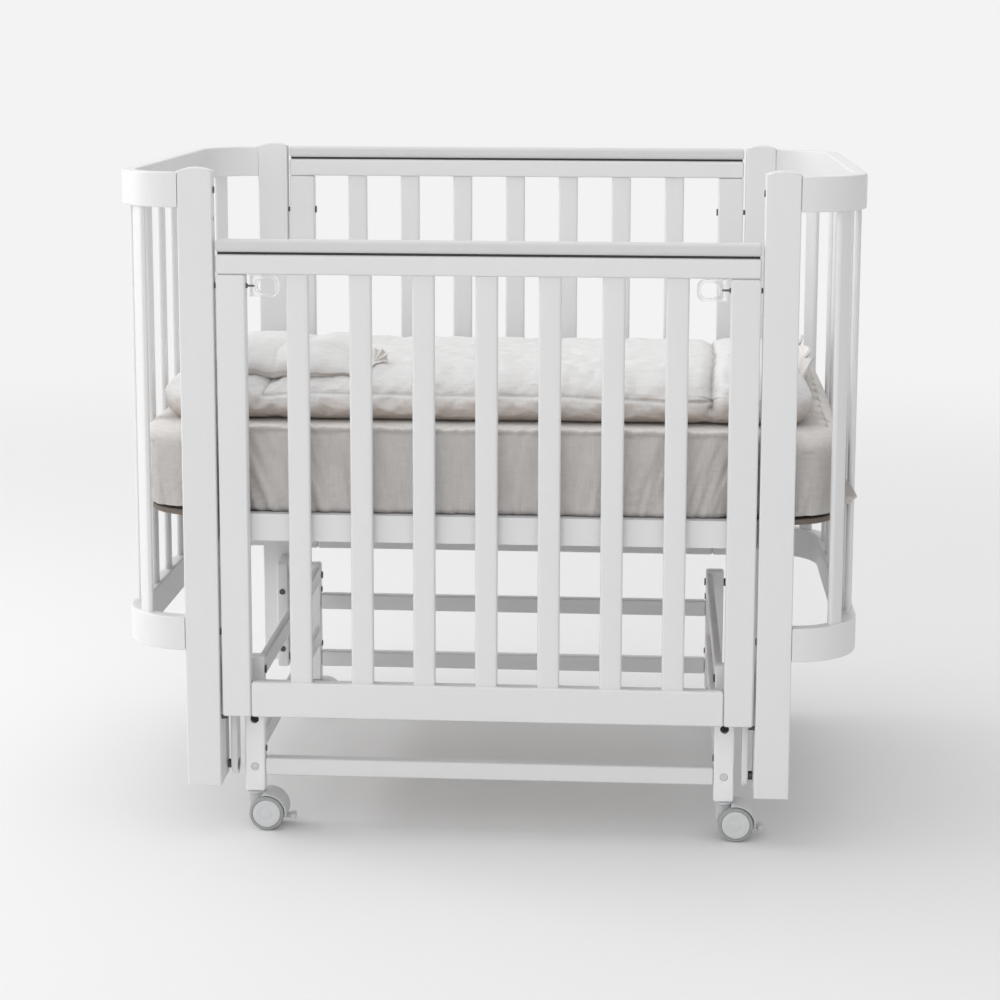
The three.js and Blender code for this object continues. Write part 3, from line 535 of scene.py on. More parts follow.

# %% [markdown]
# New pieces are made from numbers: rings of points are joined by quads, and a profile is turned about an axis
# for a wheel or a bolt head. A piece is then named, finished and set riding on its body.

# %% Helpers for new pieces


def loft(rings, closed=True, capped=True):
    """Points and faces of a skin over rings of equally many points, with its two end rings filled."""
    rings = np.asarray(rings, dtype=float)
    count, size = rings.shape[:2]
    faces = []
    for row in range(count - 1):
        for step in range(size if closed else size - 1):
            a, b = row * size + step, row * size + (step + 1) % size
            faces.append((a, b, b + size, a + size))
    if capped:
        faces.append(tuple(range(size))[::-1])
        faces.append(tuple(range((count - 1) * size, count * size)))
    return rings.reshape(-1, 3), faces


def circle(radius, height, steps, first=0.0):
    turn = first + np.arange(steps) * 2 * math.pi / steps
    return np.stack([radius * np.cos(turn), radius * np.sin(turn), np.full(steps, height)], axis=1)


def lathe(profile, steps=48):
    """A profile of (radius, height) turned about Z. Its first and last ring are filled."""
    return loft([circle(max(radius, 0.00001), height, steps) for radius, height in profile])


def moved(part, matrix):
    points, faces = part
    turned = points @ np.array(matrix.to_3x3()).T + np.array(matrix.translation)
    if matrix.determinant() < 0:
        faces = [face[::-1] for face in faces]
    return turned, faces


def joined(parts):
    points, faces, first = [], [], 0
    for part_points, part_faces in parts:
        points.append(part_points)
        faces += [tuple(index + first for index in face) for face in part_faces]
        first += len(part_points)
    return np.concatenate(points), faces


def make_piece(name, part, material, body, replaced=(), crease=35):
    """A named piece from points and faces, on its body."""
    points, faces = part
    mesh = bpy.data.meshes.new(name)
    mesh.from_pydata([tuple(p) for p in points], [], faces)
    mesh.shade_smooth()
    mesh.set_sharp_from_angle(angle=math.radians(crease))
    piece = bpy.data.objects.new(name, mesh)
    scene.collection.objects.link(piece)
    mesh.materials.append(material)
    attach(piece, body)
    if replaced:
        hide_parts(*replaced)
    return piece


def turned_to(x, y, z, axis="Z", sign=1):
    """A matrix that stands local Z along an axis and moves it to a place."""
    turns = {"X": Matrix.Rotation(math.pi / 2, 4, "Y"), "Y": Matrix.Rotation(-math.pi / 2, 4, "X")}
    matrix = turns.get(axis, Matrix.Identity(4))
    if sign < 0:
        matrix = matrix @ Matrix.Rotation(math.pi, 4, "X")
    return Matrix.Translation((x, y, z)) @ matrix


def mirrored(part, x_sign):
    return part if x_sign > 0 else moved(part, Matrix.Scale(-1, 4, (1, 0, 0)))


def rounded_loop(half_x, half_y, corner, arc_steps=8, side_steps=1):
    """Points of a rounded rectangle in XY, from the +X side round, with its straight runs divided."""
    loop = []
    centres = ((half_x - corner, half_y - corner), (corner - half_x, half_y - corner))
    centres += ((corner - half_x, corner - half_y), (half_x - corner, corner - half_y))
    for index, (cx, cy) in enumerate(centres):
        first = index * math.pi / 2
        arc = [first + math.pi / 2 * step / arc_steps for step in range(arc_steps + 1)]
        loop += [(cx + corner * math.cos(t), cy + corner * math.sin(t)) for t in arc]
        nx, ny = centres[(index + 1) % 4]
        end = (nx + corner * math.cos(arc[-1]), ny + corner * math.sin(arc[-1]))
        start = loop[-1]
        for step in range(1, side_steps):
            share = step / side_steps
            loop.append((start[0] + (end[0] - start[0]) * share, start[1] + (end[1] - start[1]) * share))
    return np.array(loop)


print("helpers ready")

# %% [markdown]
# The bolts are cap screws with a hexagon socket. A head is a ring with a small round on its edge, and its top
# dips into a six-sided hole, so it is one skin over six rings of 24 points.

# %% Socket bolts
BOLT_STEPS = 24


def hexagon(across_flats, height):
    """A hexagon with as many points as the head's circle."""
    turn = np.arange(BOLT_STEPS) * 2 * math.pi / BOLT_STEPS
    reach = across_flats / 2 / np.cos((turn % (math.pi / 3)) - math.pi / 6)
    return np.stack([reach * np.cos(turn), reach * np.sin(turn), np.full(BOLT_STEPS, height)], axis=1)


def socket_head(radius, height, across_flats):
    """A low bolt head that stands on Z = 0."""
    ease = height * 0.3
    rings = [
        circle(radius, 0, BOLT_STEPS),
        circle(radius, height - ease, BOLT_STEPS),
        circle(radius - ease * 0.3, height - ease * 0.3, BOLT_STEPS),
        circle(radius - ease, height, BOLT_STEPS),
        hexagon(across_flats, height),
        hexagon(across_flats, height * 0.25),
    ]
    return loft(rings)


HEAD, HEAD_HEIGHT, SOCKET = 4.9 * MM, 1.6 * MM, 4 * MM
BENT_RAIL_BOLTS, BENT_RAIL_BOLT_Y = (919 * MM, 299 * MM), 327 * MM
BRACKET_BOLTS = (206 * MM, 108 * MM)
BRACKET_BOLT_X, BRACKET_BOLT_Y = 384 * MM, 269.7 * MM
LEG_BOLTS = (209 * MM, 116 * MM)


def bolts(x, y, heights, axis, sign):
    """Bolt heads above one another at X and Y, which face along an axis."""
    return [moved(socket_head(HEAD, HEAD_HEIGHT, SOCKET), turned_to(x, y, z, axis, sign)) for z in heights]


for row, side, x_sign, y_sign in CORNERS:
    rail_heights = BENT_RAIL_BOLTS if row == "front" else BENT_RAIL_BOLTS[1:]
    heads = bolts(x_sign * POST_INNER, y_sign * BENT_RAIL_BOLT_Y, rail_heights, "X", -x_sign)
    heads += bolts(x_sign * BRACKET_BOLT_X, y_sign * BRACKET_BOLT_Y, BRACKET_BOLTS, "Y", -y_sign)
    make_piece(f"crib_bolts_{row}_{side}", joined(heads), dark_steel, "crib")
    heads = bolts(x_sign * LEG_INNER, y_sign * PIVOT_Y, LEG_BOLTS, "X", -x_sign)
    make_piece(f"leg_bolts_{row}_{side}", joined(heads), dark_steel, "stand")
print("bolt sets made:", 2 * len(CORNERS))

# %% [markdown]
# Each leg has a wide bore in its outer face, with a bolt at its floor, and below it a white cap pressed into
# a second one. The bores are in the CAD solid, so only the caps and the bores' floors and bolts are added,
# the latter much darker than steel, as painted shade.

# %% Leg caps and bore floors
LEG_FACE, LEG_CAP_Z = 292 * MM, 91 * MM
CAP_DEPTH, CAP_RADIUS, CAP_HEIGHT = 3 * MM, 5.7 * MM, 3.6 * MM
BORE_Z, BORE_DEPTH, BORE_RADIUS = 161 * MM, 7 * MM, 6.5 * MM
NUT_RADIUS, NUT_HEIGHT, NUT_SOCKET = 4.6 * MM, 3.5 * MM, 4 * MM
COLLAR_RADIUS, COLLAR_HEIGHT = BORE_RADIUS - 0.2 * MM, 0.4 * MM


def flat_cap(radius, height):
    """A low domed cap, as pressed over a bolt hole."""
    profile = [(radius, 0), (radius, height * 0.5), (radius * 0.9, height * 0.85), (radius * 0.6, height)]
    return lathe(profile, 32)


for row, side, x_sign, y_sign in CORNERS:
    x = x_sign * LEG_MIDDLE
    seat = turned_to(x, y_sign * (LEG_FACE - CAP_DEPTH), LEG_CAP_Z, "Y", y_sign)
    cap = moved(flat_cap(CAP_RADIUS, CAP_HEIGHT), seat)
    make_piece(f"leg_cap_{row}_{side}", cap, cap_plastic, "stand")
    floor_at = turned_to(x, y_sign * (LEG_FACE - BORE_DEPTH), BORE_Z, "Y", y_sign)
    nut = socket_head(NUT_RADIUS, NUT_HEIGHT, NUT_SOCKET)
    collar = lathe([(COLLAR_RADIUS, 0), (COLLAR_RADIUS, COLLAR_HEIGHT)], 32)
    bore_bolt = moved(joined([collar, nut]), floor_at)
    make_piece(f"leg_bore_bolt_{row}_{side}", bore_bolt, hole_shade, "stand")
print("leg caps made:", len(CORNERS))

# %% [markdown]
# The latch pull is a translucent moulded ring on a dark steel pin. A ring with soft edges is a small rounded
# cross section carried round the ring's middle line, so it is lofted, and the pin is turned.

# %% Latches
RING_HALF_WIDTH, RING_HALF_HEIGHT, RING_HALF_THICK = 20.6 * MM, 15 * MM, 2.2 * MM
HOLE_HALF_WIDTH, HOLE_HALF_HEIGHT, HOLE_SHIFT = 12.2 * MM, 10.9 * MM, -2.8 * MM
RING_OUTER = STILE_INNER - 4.8 * MM
RING_EASE = 0.7 * MM
PIN_IN_RING, PIN_BEYOND_STILE = 7 * MM, 2.7 * MM
LATCH_Z = LOWERED_FOOT + 609.5 * MM


def two_ended_loop(half_x, half_y, near_corner, far_corner, arc_steps=10):
    """A rounded rectangle whose corners at +X and at -X have their own radii."""
    near = rounded_loop(half_x, half_y, near_corner, arc_steps)
    far = rounded_loop(half_x, half_y, far_corner, arc_steps)
    return np.where(near[:, :1] > 0, near, far)


def ring_pull():
    """A flat clear plate in XZ, square towards the stile, with a round finger hole and soft edges."""
    outer = two_ended_loop(RING_HALF_WIDTH, RING_HALF_HEIGHT, 2 * MM, 11 * MM)
    hole = two_ended_loop(HOLE_HALF_WIDTH, HOLE_HALF_HEIGHT, 10.4 * MM, 9 * MM)
    ease, thick = RING_EASE, RING_HALF_THICK
    section = [(0, thick - ease), (0.3 * ease, thick - 0.3 * ease), (ease, thick)]
    levels = [(outer, inset, level) for inset, level in section]
    levels += [(hole, -inset, level) for inset, level in section[::-1]]
    levels += [(hole, -inset, -level) for inset, level in section]
    levels += [(outer, inset, -level) for inset, level in section[::-1]]
    rings = []
    for loop, inset, level in levels + levels[:1]:
        reach = np.abs(loop).max(axis=0)
        grown = loop * (1 - inset / reach) + (np.array([HOLE_SHIFT, 0]) if loop is hole else 0)
        rings.append(np.column_stack([grown[:, 0], np.full(len(loop), level), grown[:, 1]]))
    return loft(rings[::-1], capped=False)


for side, x_sign in SIDES.items():
    middle = x_sign * (RING_OUTER - RING_HALF_WIDTH)
    ring = moved(mirrored(ring_pull(), x_sign), Matrix.Translation((middle, -PANEL_MIDDLE, LATCH_Z)))
    make_piece(f"latch_ring_{side}", ring, pull_plastic, f"latch_{side}", (f"latch_{side}",))
    tip = RING_OUTER - PIN_IN_RING
    reach = PANEL_HALF + PIN_BEYOND_STILE - tip
    in_stile = STILE_INNER - tip
    thin_rod = [(0.9 * MM, 0), (1.5 * MM, 0.6 * MM), (1.5 * MM, in_stile - 2.4 * MM)]
    thick_rod = [(3 * MM, in_stile - 2.2 * MM), (4 * MM, in_stile + MM)]
    end = [(4 * MM, reach - MM), (3 * MM, reach)]
    start = turned_to(x_sign * tip, -PANEL_MIDDLE, LATCH_Z, "X", x_sign)
    pin = moved(lathe(thin_rod + thick_rod + end, 32), start)
    make_piece(f"latch_pin_{side}", pin, dark_steel, f"latch_{side}")
print("latch rings at z", round(LATCH_Z, 4))

# %% [markdown]
# A twin-wheel caster has two wheels on one axle, with the housing's web between them and its hood over them.
# The wheels and the plate are turned. The hood is an arc of a thin shell whose ends and rims are rounded.

# %% Wheel
WHEEL_HALF = 7 * MM
HUB_RADIUS = 19.8 * MM
SHOULDER, SHOULDER_TURNS = 3 * MM, (1.57, 1.2, 0.8, 0.4, 0)
WHEEL_STEPS = 64


def wheel():
    """A wheel about Z with its outer face up: round-shouldered tread, groove, dished disc and boss."""
    half, tread, disc = WHEEL_HALF, WHEEL_RADIUS, HUB_RADIUS
    shoulder = [
        (tread - SHOULDER * (1 - math.sin(t)), half - SHOULDER * (1 - math.cos(t))) for t in SHOULDER_TURNS
    ]
    lower = [(radius, -height) for radius, height in shoulder[::-1]]
    groove = [(disc + 0.7 * MM, half), (disc + 0.4 * MM, half - 4 * MM)]
    tyre = lathe([(disc - 4 * MM, -half)] + lower + shoulder + groove, WHEEL_STEPS)
    dish = [
        (disc + 0.2 * MM, half - 2 * MM),
        (disc + 0.1 * MM, half - 0.6 * MM),
        (disc - 0.6 * MM, half - 0.1 * MM),
        (disc - 1.4 * MM, half),
        (9 * MM, half + 0.3 * MM),
        (8.6 * MM, half + 0.1 * MM),
        (8.2 * MM, half + 0.3 * MM),
        (3 * MM, half + 0.4 * MM),
    ]
    return tyre, lathe([(disc - 3 * MM, -half + MM)] + dish, WHEEL_STEPS)


print("wheel across", round(2 * WHEEL_RADIUS / MM), "mm")


# %% [markdown]
# The housing is one moulding. Its hood is an arc over both wheels, a web under the hood reaches down between
# them, and two cheeks on the web hold the pin that the brake lever turns on.

# %% Housing and brake
HOOD_INNER, HOOD_OUTER = 26.4 * MM, 28.1 * MM
HOOD_FROM, HOOD_TO = math.radians(-8), math.radians(104)
HOOD_HALF_WIDTH = 22 * MM
HOOD_STEPS, HOOD_EASE = 40, 0.7 * MM
WEB_HALF, BOSS_RADIUS = 6.5 * MM, 9 * MM
BRAKE_PIN_X, BRAKE_PIN_Z = 14.5 * MM, -8 * MM
CHEEK_Y = 4.9 * MM
PAD_HALF_LENGTH, PAD_HALF_WIDTH, PAD_CORNER, PAD_X = 4.5 * MM, 8.5 * MM, 3.4 * MM, 21 * MM


def hood():
    """The arc of the hood about the axle, along Y, as one closed thin shell."""
    inner, outer, half, ease = HOOD_INNER, HOOD_OUTER, HOOD_HALF_WIDTH, HOOD_EASE
    section = [
        (inner, -half + ease),
        (inner, half - ease),
        (inner + ease / 2, half),
        (outer - ease, half),
        (outer - ease * 0.3, half - ease * 0.4),
        (outer, half - ease * 1.2),
        (outer, -half + ease * 1.2),
        (outer - ease * 0.3, -half + ease * 0.4),
        (outer - ease, -half),
        (inner + ease / 2, -half),
    ]
    rings = []
    for step in range(HOOD_STEPS + 1):
        turn = HOOD_FROM + (HOOD_TO - HOOD_FROM) * step / HOOD_STEPS
        rings.append([(radius * math.cos(turn), y, radius * math.sin(turn)) for radius, y in section])
    return loft(rings[::-1])


def web():
    """The housing's middle plate: under the hood, round the axle's boss and out to the brake's ear."""
    turns = np.linspace(HOOD_FROM, HOOD_TO, 28)
    rim = [(HOOD_INNER * 1.02 * math.cos(t), HOOD_INNER * 1.02 * math.sin(t)) for t in turns]
    turns = np.linspace(math.radians(150), math.radians(300), 14)
    boss = [(BOSS_RADIUS * math.cos(t), BOSS_RADIUS * math.sin(t)) for t in turns]
    return loft([[(x, y, z) for x, z in rim + boss] for y in (WEB_HALF, -WEB_HALF)])


def ears():
    """The two cheeks that hold the brake's pin."""
    profile = [(5.4 * MM, -1.6 * MM), (6 * MM, -1.1 * MM), (6 * MM, 1.1 * MM), (5.4 * MM, 1.6 * MM)]
    disc = lathe(profile, 28)
    cheeks = []
    for y in (-CHEEK_Y, CHEEK_Y):
        cheeks.append(moved(disc, turned_to(BRAKE_PIN_X, y, BRAKE_PIN_Z, "Y")))
    return joined(cheeks)


def brake():
    """The lever and its rounded pad, about the brake's pin."""
    lever = [(-3.4, 3.2), (-3.4, -3.2), (8, -3.4), (21, -3.4), (21, 3.4), (8, 3.4)]
    arm = loft([[(x * MM, y * MM, z * MM) for x, z in lever] for y in (3, -3)])
    rings = []
    for share, level in ((0.72, -3.6), (0.93, -3.1), (1, -2), (1, 1.6), (0.93, 3), (0.74, 3.6)):
        loop = rounded_loop(PAD_HALF_LENGTH * share, PAD_HALF_WIDTH * share, PAD_CORNER * share, 8)
        rings.append([(PAD_X + x, y, level * MM) for x, y in loop])
    pin = moved(lathe([(2 * MM, -6.4 * MM), (2 * MM, 6.4 * MM)], 24), turned_to(0, 0, 0, "Y"))
    return joined([arm, loft(rings), pin])


print("hood spans", round(math.degrees(HOOD_TO - HOOD_FROM)), "degrees")

# %% [markdown]
# Each caster is put together at its own leg: the wheels and their rod about the axle, the plate, neck and
# stem about the swivel, and the lever about its pin. Wheels, housing and lever move on their own, so each is
# a piece on its own body.

# %% Four casters
WHEEL_SPACING, ROD_RADIUS = 31 * MM, 3 * MM
PLATE = [(12.4 * MM, 51.6 * MM), (13 * MM, 52 * MM), (13 * MM, 53.3 * MM), (12.4 * MM, 53.7 * MM)]
STEM = [(4 * MM, 53 * MM), (4 * MM, 72.5 * MM), (3.2 * MM, 73.4 * MM)]
NECK_LEVELS = (28, 30, 49, 51.8)


def wheel_pair(axle):
    """Two tyres, and two discs on their rod, about an axle along Y."""
    tyres, discs = [], []
    for outward in (-1, 1):
        tyre, disc = wheel()
        seat = turned_to(axle.x, axle.y + outward * WHEEL_SPACING / 2, axle.z, "Y", outward)
        tyres.append(moved(tyre, seat))
        discs.append(moved(disc, seat))
    rod = lathe([(ROD_RADIUS, -WHEEL_SPACING / 2), (ROD_RADIUS, WHEEL_SPACING / 2)], 24)
    discs.append(moved(rod, turned_to(*axle, "Y")))
    return joined(tyres), joined(discs)


def housing(swivel, axle):
    """Plate, neck and stem about the swivel, and hood, web and cheeks about the axle."""
    loop = rounded_loop(10 * MM, 6.5 * MM, 2 * MM, 5)
    neck = loft([[(x, y, z * MM) for x, y in loop] for z in NECK_LEVELS])
    about_swivel = [moved(part, Matrix.Translation(swivel)) for part in (lathe(PLATE), neck, lathe(STEM, 24))]
    return joined(about_swivel + [moved(part, Matrix.Translation(axle)) for part in (hood(), web(), ears())])


for row, side, x_sign, y_sign in CORNERS:
    corner = f"{row}_{side}"
    swivel = Vector((x_sign * LEG_MIDDLE, y_sign * PIVOT_Y, 0))
    axle = swivel + Vector((AXLE_TRAIL, 0, WHEEL_RADIUS))
    tyres, discs = wheel_pair(axle)
    wheels = f"wheels_{corner}"
    make_piece(f"tyres_{corner}", tyres, tread_rubber, wheels)
    make_piece(f"wheel_discs_{corner}", discs, hub_plastic, wheels, (f"caster_wheels_{corner}",))
    shell = housing(swivel, axle)
    stands_for = (f"caster_housing_{corner}",)
    make_piece(f"caster_shell_{corner}", shell, shell_plastic, f"caster_{corner}", stands_for)
    lever = moved(brake(), Matrix.Translation(axle + Vector((BRAKE_PIN_X, 0, BRAKE_PIN_Z))))
    stands_for = (f"caster_brake_{corner}",)
    make_piece(f"brake_lever_{corner}", lever, shell_plastic, f"brake_{corner}", stands_for)
print("casters made:", len(CORNERS))

# %% [markdown]
# The mattress wears a fitted sheet. Elastic in its hem pulls the cloth in, so it gathers towards the bottom
# and most of all at the corners, where folds lean upwards. A sheet under tension follows its mattress
# closely, so its folds are moved out of the surface in code, which also keeps them clear of the slats.

# %% Helpers for cloth surfaces


def wander(u, v, seed):
    """Smooth noise from -1 to 1 over two coordinates, one cell to each whole number."""
    lattice = np.random.RandomState(seed).uniform(-1, 1, (64, 64))
    u, v = np.asarray(u, dtype=float), np.asarray(v, dtype=float)
    column, row = np.floor(u).astype(int), np.floor(v).astype(int)
    a, b = u - column, v - row
    a, b = a * a * (3 - 2 * a), b * b * (3 - 2 * b)
    near = lattice[row % 64, column % 64] * (1 - a) + lattice[row % 64, (column + 1) % 64] * a
    far = lattice[(row + 1) % 64, column % 64] * (1 - a) + lattice[(row + 1) % 64, (column + 1) % 64] * a
    return near * (1 - b) + far * b


def rise(value, start, end):
    """From 0 at start to 1 at end, smoothly."""
    share = np.clip((np.asarray(value, dtype=float) - start) / (end - start), 0, 1)
    return share * share * (3 - 2 * share)


def even_loop(half_x, half_y, corner, count):
    """Evenly spaced points of a rounded rectangle, with the outward direction at each."""
    fine = rounded_loop(half_x, half_y, max(corner, 0.0005), 24, 40)
    ring = np.vstack([fine, fine[:1]])
    run = np.concatenate([[0], np.cumsum(np.linalg.norm(np.diff(ring, axis=0), axis=1))])
    wanted = np.arange(count) / count * run[-1]
    points = np.stack([np.interp(wanted, run, ring[:, axis]) for axis in (0, 1)], axis=1)
    along = np.roll(points, -1, axis=0) - np.roll(points, 1, axis=0)
    along /= np.linalg.norm(along, axis=1)[:, None]
    return points, np.stack([along[:, 1], -along[:, 0]], axis=1), wanted


# %% [markdown]
# The sheet is a skin over level rings, from the middle of the top, over the rounded edge and down the sides
# to the hem. Along the long sides a stitched welt runs on the edge. Each ring is pushed out by its folds.

# %% Mattress in its fitted sheet
SHEET_STEPS = 900
BED_HALF_X, BED_HALF_Y, BED_CORNER = 497.2 * MM, 302.6 * MM, 78 * MM
BED_TOP, BED_FOOT = 586 * MM, 466.3 * MM
SIDE_EDGE, END_EDGE = 5 * MM, 24 * MM
WELT, WELT_AT, WELT_SPREAD = 4.4 * MM, math.radians(58), math.radians(34)
TOP_INSETS_MM = (299, 255, 210, 165, 130, 104, 84, 70, 60, 52, 46, 41, 37, 33, 30, 27, 25.5)
EDGE_TURNS = np.linspace(math.radians(88), 0, 17)
SIDE_ROWS = np.linspace(0.02, 1, 34)
HEM = [(1.2 * MM, 3 * MM), (3.4 * MM, 0.8 * MM), (9 * MM, 0)]


def long_side(x):
    """1 along the long sides, where a stitched welt runs, and 0 from the corners to the ends."""
    return 1 - rise(np.abs(x), 315 * MM, 440 * MM)


def sheet_folds(place, outward, z, run):
    """How far the sheet stands out of its smooth form, in metres. Folds rise towards the nearest corner."""
    x, y = place
    corner_x, corner_y = BED_HALF_X - 62 * MM, BED_HALF_Y - 62 * MM
    from_corner = np.hypot(np.maximum(corner_x - np.abs(x), 0), np.maximum(corner_y - np.abs(y), 0))
    near_corner = np.exp(-((from_corner / (80 * MM)) ** 2))
    height = z - BED_FOOT
    low = 0.25 + 0.75 * rise(z, BED_TOP, BED_FOOT + 40 * MM)
    towards = -outward[1] * x / BED_HALF_X + outward[0] * y / BED_HALF_Y
    leaning = run - 0.55 * height * towards
    sharp = 1 - 2.4 * np.abs(wander(leaning / (17 * MM), z / (210 * MM), 3)) ** 0.8
    streak = wander(leaning / (7 * MM), z / (80 * MM), 5)
    broad = wander(leaning / (34 * MM), z / (170 * MM), 8)
    hem = np.exp(-((height / (12 * MM)) ** 2))
    right = np.exp(-(((x - 330 * MM) / (50 * MM)) ** 2)) * (y < 0)
    side = 0.6 + 0.4 * rise(np.abs(x), 60 * MM, 300 * MM)
    thin = np.exp(-((wander(leaning / (10 * MM), z / (120 * MM), 14) / 0.16) ** 2))
    round_end = 1 - 0.75 * rise(np.abs(x), 405 * MM, 450 * MM)
    out = near_corner * (0.3 + 0.7 * low) * (0.9 * sharp + 1.7 * streak) * round_end
    out += side * low * (3.6 * streak + 3.2 * broad * (1 - 0.7 * right) - 1.5 * thin) * round_end
    out += right * low * 3 * wander(leaning / (6.5 * MM), z / (160 * MM), 12)
    out += hem * (1.6 * wander(run / (5.5 * MM), 0 * run, 9) + 0.6)
    return out * MM


def top_folds(x, y):
    """Folds of the sheet's top: faint ones beside the quilt and curved ones across the right end."""
    bend = y + 0.45 * (x - 460 * MM) + 7 * MM * wander(y / (80 * MM), 0 * y, 21)
    crease = np.exp(-((np.sin(bend * math.pi / (43 * MM)) / 0.48) ** 2))
    bunch = rise(x, 452 * MM, 464 * MM) * rise(y, -270 * MM, -190 * MM)
    heap = bunch * rise(y, -170 * MM, 120 * MM) * 19
    beside_quilt = rise(np.abs(y), 240 * MM, 285 * MM) * wander((x + 0.7 * y) / (13 * MM), y / (50 * MM), 24)
    uneven = 0.6 * wander(x / (60 * MM), y / (45 * MM), 23)
    return (heap + bunch * (3.5 - 10 * crease) + 1.2 * beside_quilt + uneven) * MM


def sheet_ring(inset, level, edge_turn=None, share=None):
    """One ring of the sheet. On the edge its turn places it, and below it its share of the height."""
    corner = max(BED_CORNER - inset, 3 * MM)
    points, outward, _ = even_loop(BED_HALF_X - inset, BED_HALF_Y - inset, corner, SHEET_STEPS)
    middle, _, run = even_loop(BED_HALF_X, BED_HALF_Y, BED_CORNER, SHEET_STEPS)
    x, y = points.T
    edge = END_EDGE + (SIDE_EDGE - END_EDGE) * long_side(middle[:, 0])
    end = 1 - long_side(middle[:, 0])
    push, lift = np.zeros(SHEET_STEPS), np.zeros(SHEET_STEPS)
    z = np.full(SHEET_STEPS, level)
    if edge_turn is not None:
        push = -edge * (1 - math.cos(edge_turn))
        z = BED_TOP - edge * (1 - math.sin(edge_turn))
        frayed = 1 + 0.4 * wander(run / (5 * MM), 0 * run, 27)
        bead = WELT * math.exp(-(((edge_turn - WELT_AT) / WELT_SPREAD) ** 2)) * frayed * (1 - end)
        push = push + bead * math.cos(edge_turn)
        lift = bead * math.sin(edge_turn) + top_folds(x, y) * math.sin(edge_turn) ** 2
    elif share is not None:
        z = BED_TOP - edge + (BED_FOOT + 6 * MM - BED_TOP + edge) * share
    elif level > BED_TOP - MM:
        lift = top_folds(x, y)
    else:
        z = z + 4 * MM * end
        push = -5 * MM * end
    if level < BED_TOP or share is not None:
        push = push + sheet_folds((x, y), outward.T, z, run)
    return np.column_stack([x + outward[:, 0] * push, y + outward[:, 1] * push, z + lift])


rings = [sheet_ring(inset * MM, BED_TOP) for inset in TOP_INSETS_MM]
rings += [sheet_ring(0, BED_TOP, edge_turn=turn) for turn in EDGE_TURNS]
rings += [sheet_ring(0, BED_TOP, share=share) for share in SIDE_ROWS]
rings += [sheet_ring(inset, BED_FOOT + level) for inset, level in HEM]
mattress = make_piece("mattress_in_sheet", loft(rings[::-1]), sheet_cloth, "crib", ("mattress",), 80)
print("sheet faces:", len(mattress.data.polygons))

# %% [markdown]
# Quilt, roll and folded layer are padded cotton. Each starts as a rounded form, gets an even net of faces by
# a voxel remesh, and is then blown up a little by cloth simulation with more cloth than the form needs, so
# that the surplus buckles into real creases. Weak springs hold every point near its start.

# %% Helpers for padded cloth


def soft_rings(half_x, half_y, corner, height, edge, top_edge, roundness, steps=120):
    """A flat pad about its own middle, with round lower edges and upper ones between round and sloping."""
    reach = half_y - 4 * MM
    flat = [reach, reach * 0.75, reach * 0.5, top_edge * 1.3]
    turns = np.linspace(-math.pi / 2, math.pi / 2, 15)
    outline = [(inset, 0.0) for inset in flat]
    for t in turns:
        upper = roundness * (1 - math.cos(t)) + (1 - roundness) * t / (math.pi / 2)
        inset = edge * (1 - math.cos(t)) if t < 0 else top_edge * upper
        outline.append((inset, height / 2 * (1 + math.sin(t))))
    outline += [(inset, height) for inset in flat[::-1]]
    rings = []
    for inset, z in outline:
        points, _, _ = even_loop(half_x - inset, half_y - inset, max(corner - inset, 2 * MM), steps)
        rings.append(np.column_stack([points, np.full(steps, z)]))
    return rings


def mesh_points(mesh, field="co"):
    flat = np.empty(len(mesh.vertices) * 3)
    mesh.vertices.foreach_get(field, flat)
    return flat.reshape(-1, 3)


def set_points(mesh, points):
    mesh.vertices.foreach_set("co", np.asarray(points, dtype=float).ravel())
    mesh.update()


def with_modifier(piece, kind, **settings):
    """The piece's mesh, replaced by what a modifier makes of it."""
    modifier = piece.modifiers.new("making", kind)
    for name, value in settings.items():
        setattr(modifier, name, value)
    made = bpy.data.meshes.new_from_object(piece.evaluated_get(bpy.context.evaluated_depsgraph_get()))
    piece.modifiers.clear()
    piece.data = made
    made.name = piece.name


def pad(name, box, height, edge, top_edge, roundness, corner, foot, voxel):
    """A rounded pad over a box (left, right, front, rear), with an even net of faces."""
    left, right, front, rear = box
    rings = soft_rings((right - left) / 2, (rear - front) / 2, corner, height, edge, top_edge, roundness)
    part = moved(loft(rings), Matrix.Translation(((left + right) / 2, (front + rear) / 2, foot)))
    mesh = bpy.data.meshes.new(name)
    mesh.from_pydata([tuple(p) for p in part[0]], [], part[1])
    piece = bpy.data.objects.new(name, mesh)
    scene.collection.objects.link(piece)
    with_modifier(piece, "REMESH", mode="VOXEL", voxel_size=voxel)
    return piece


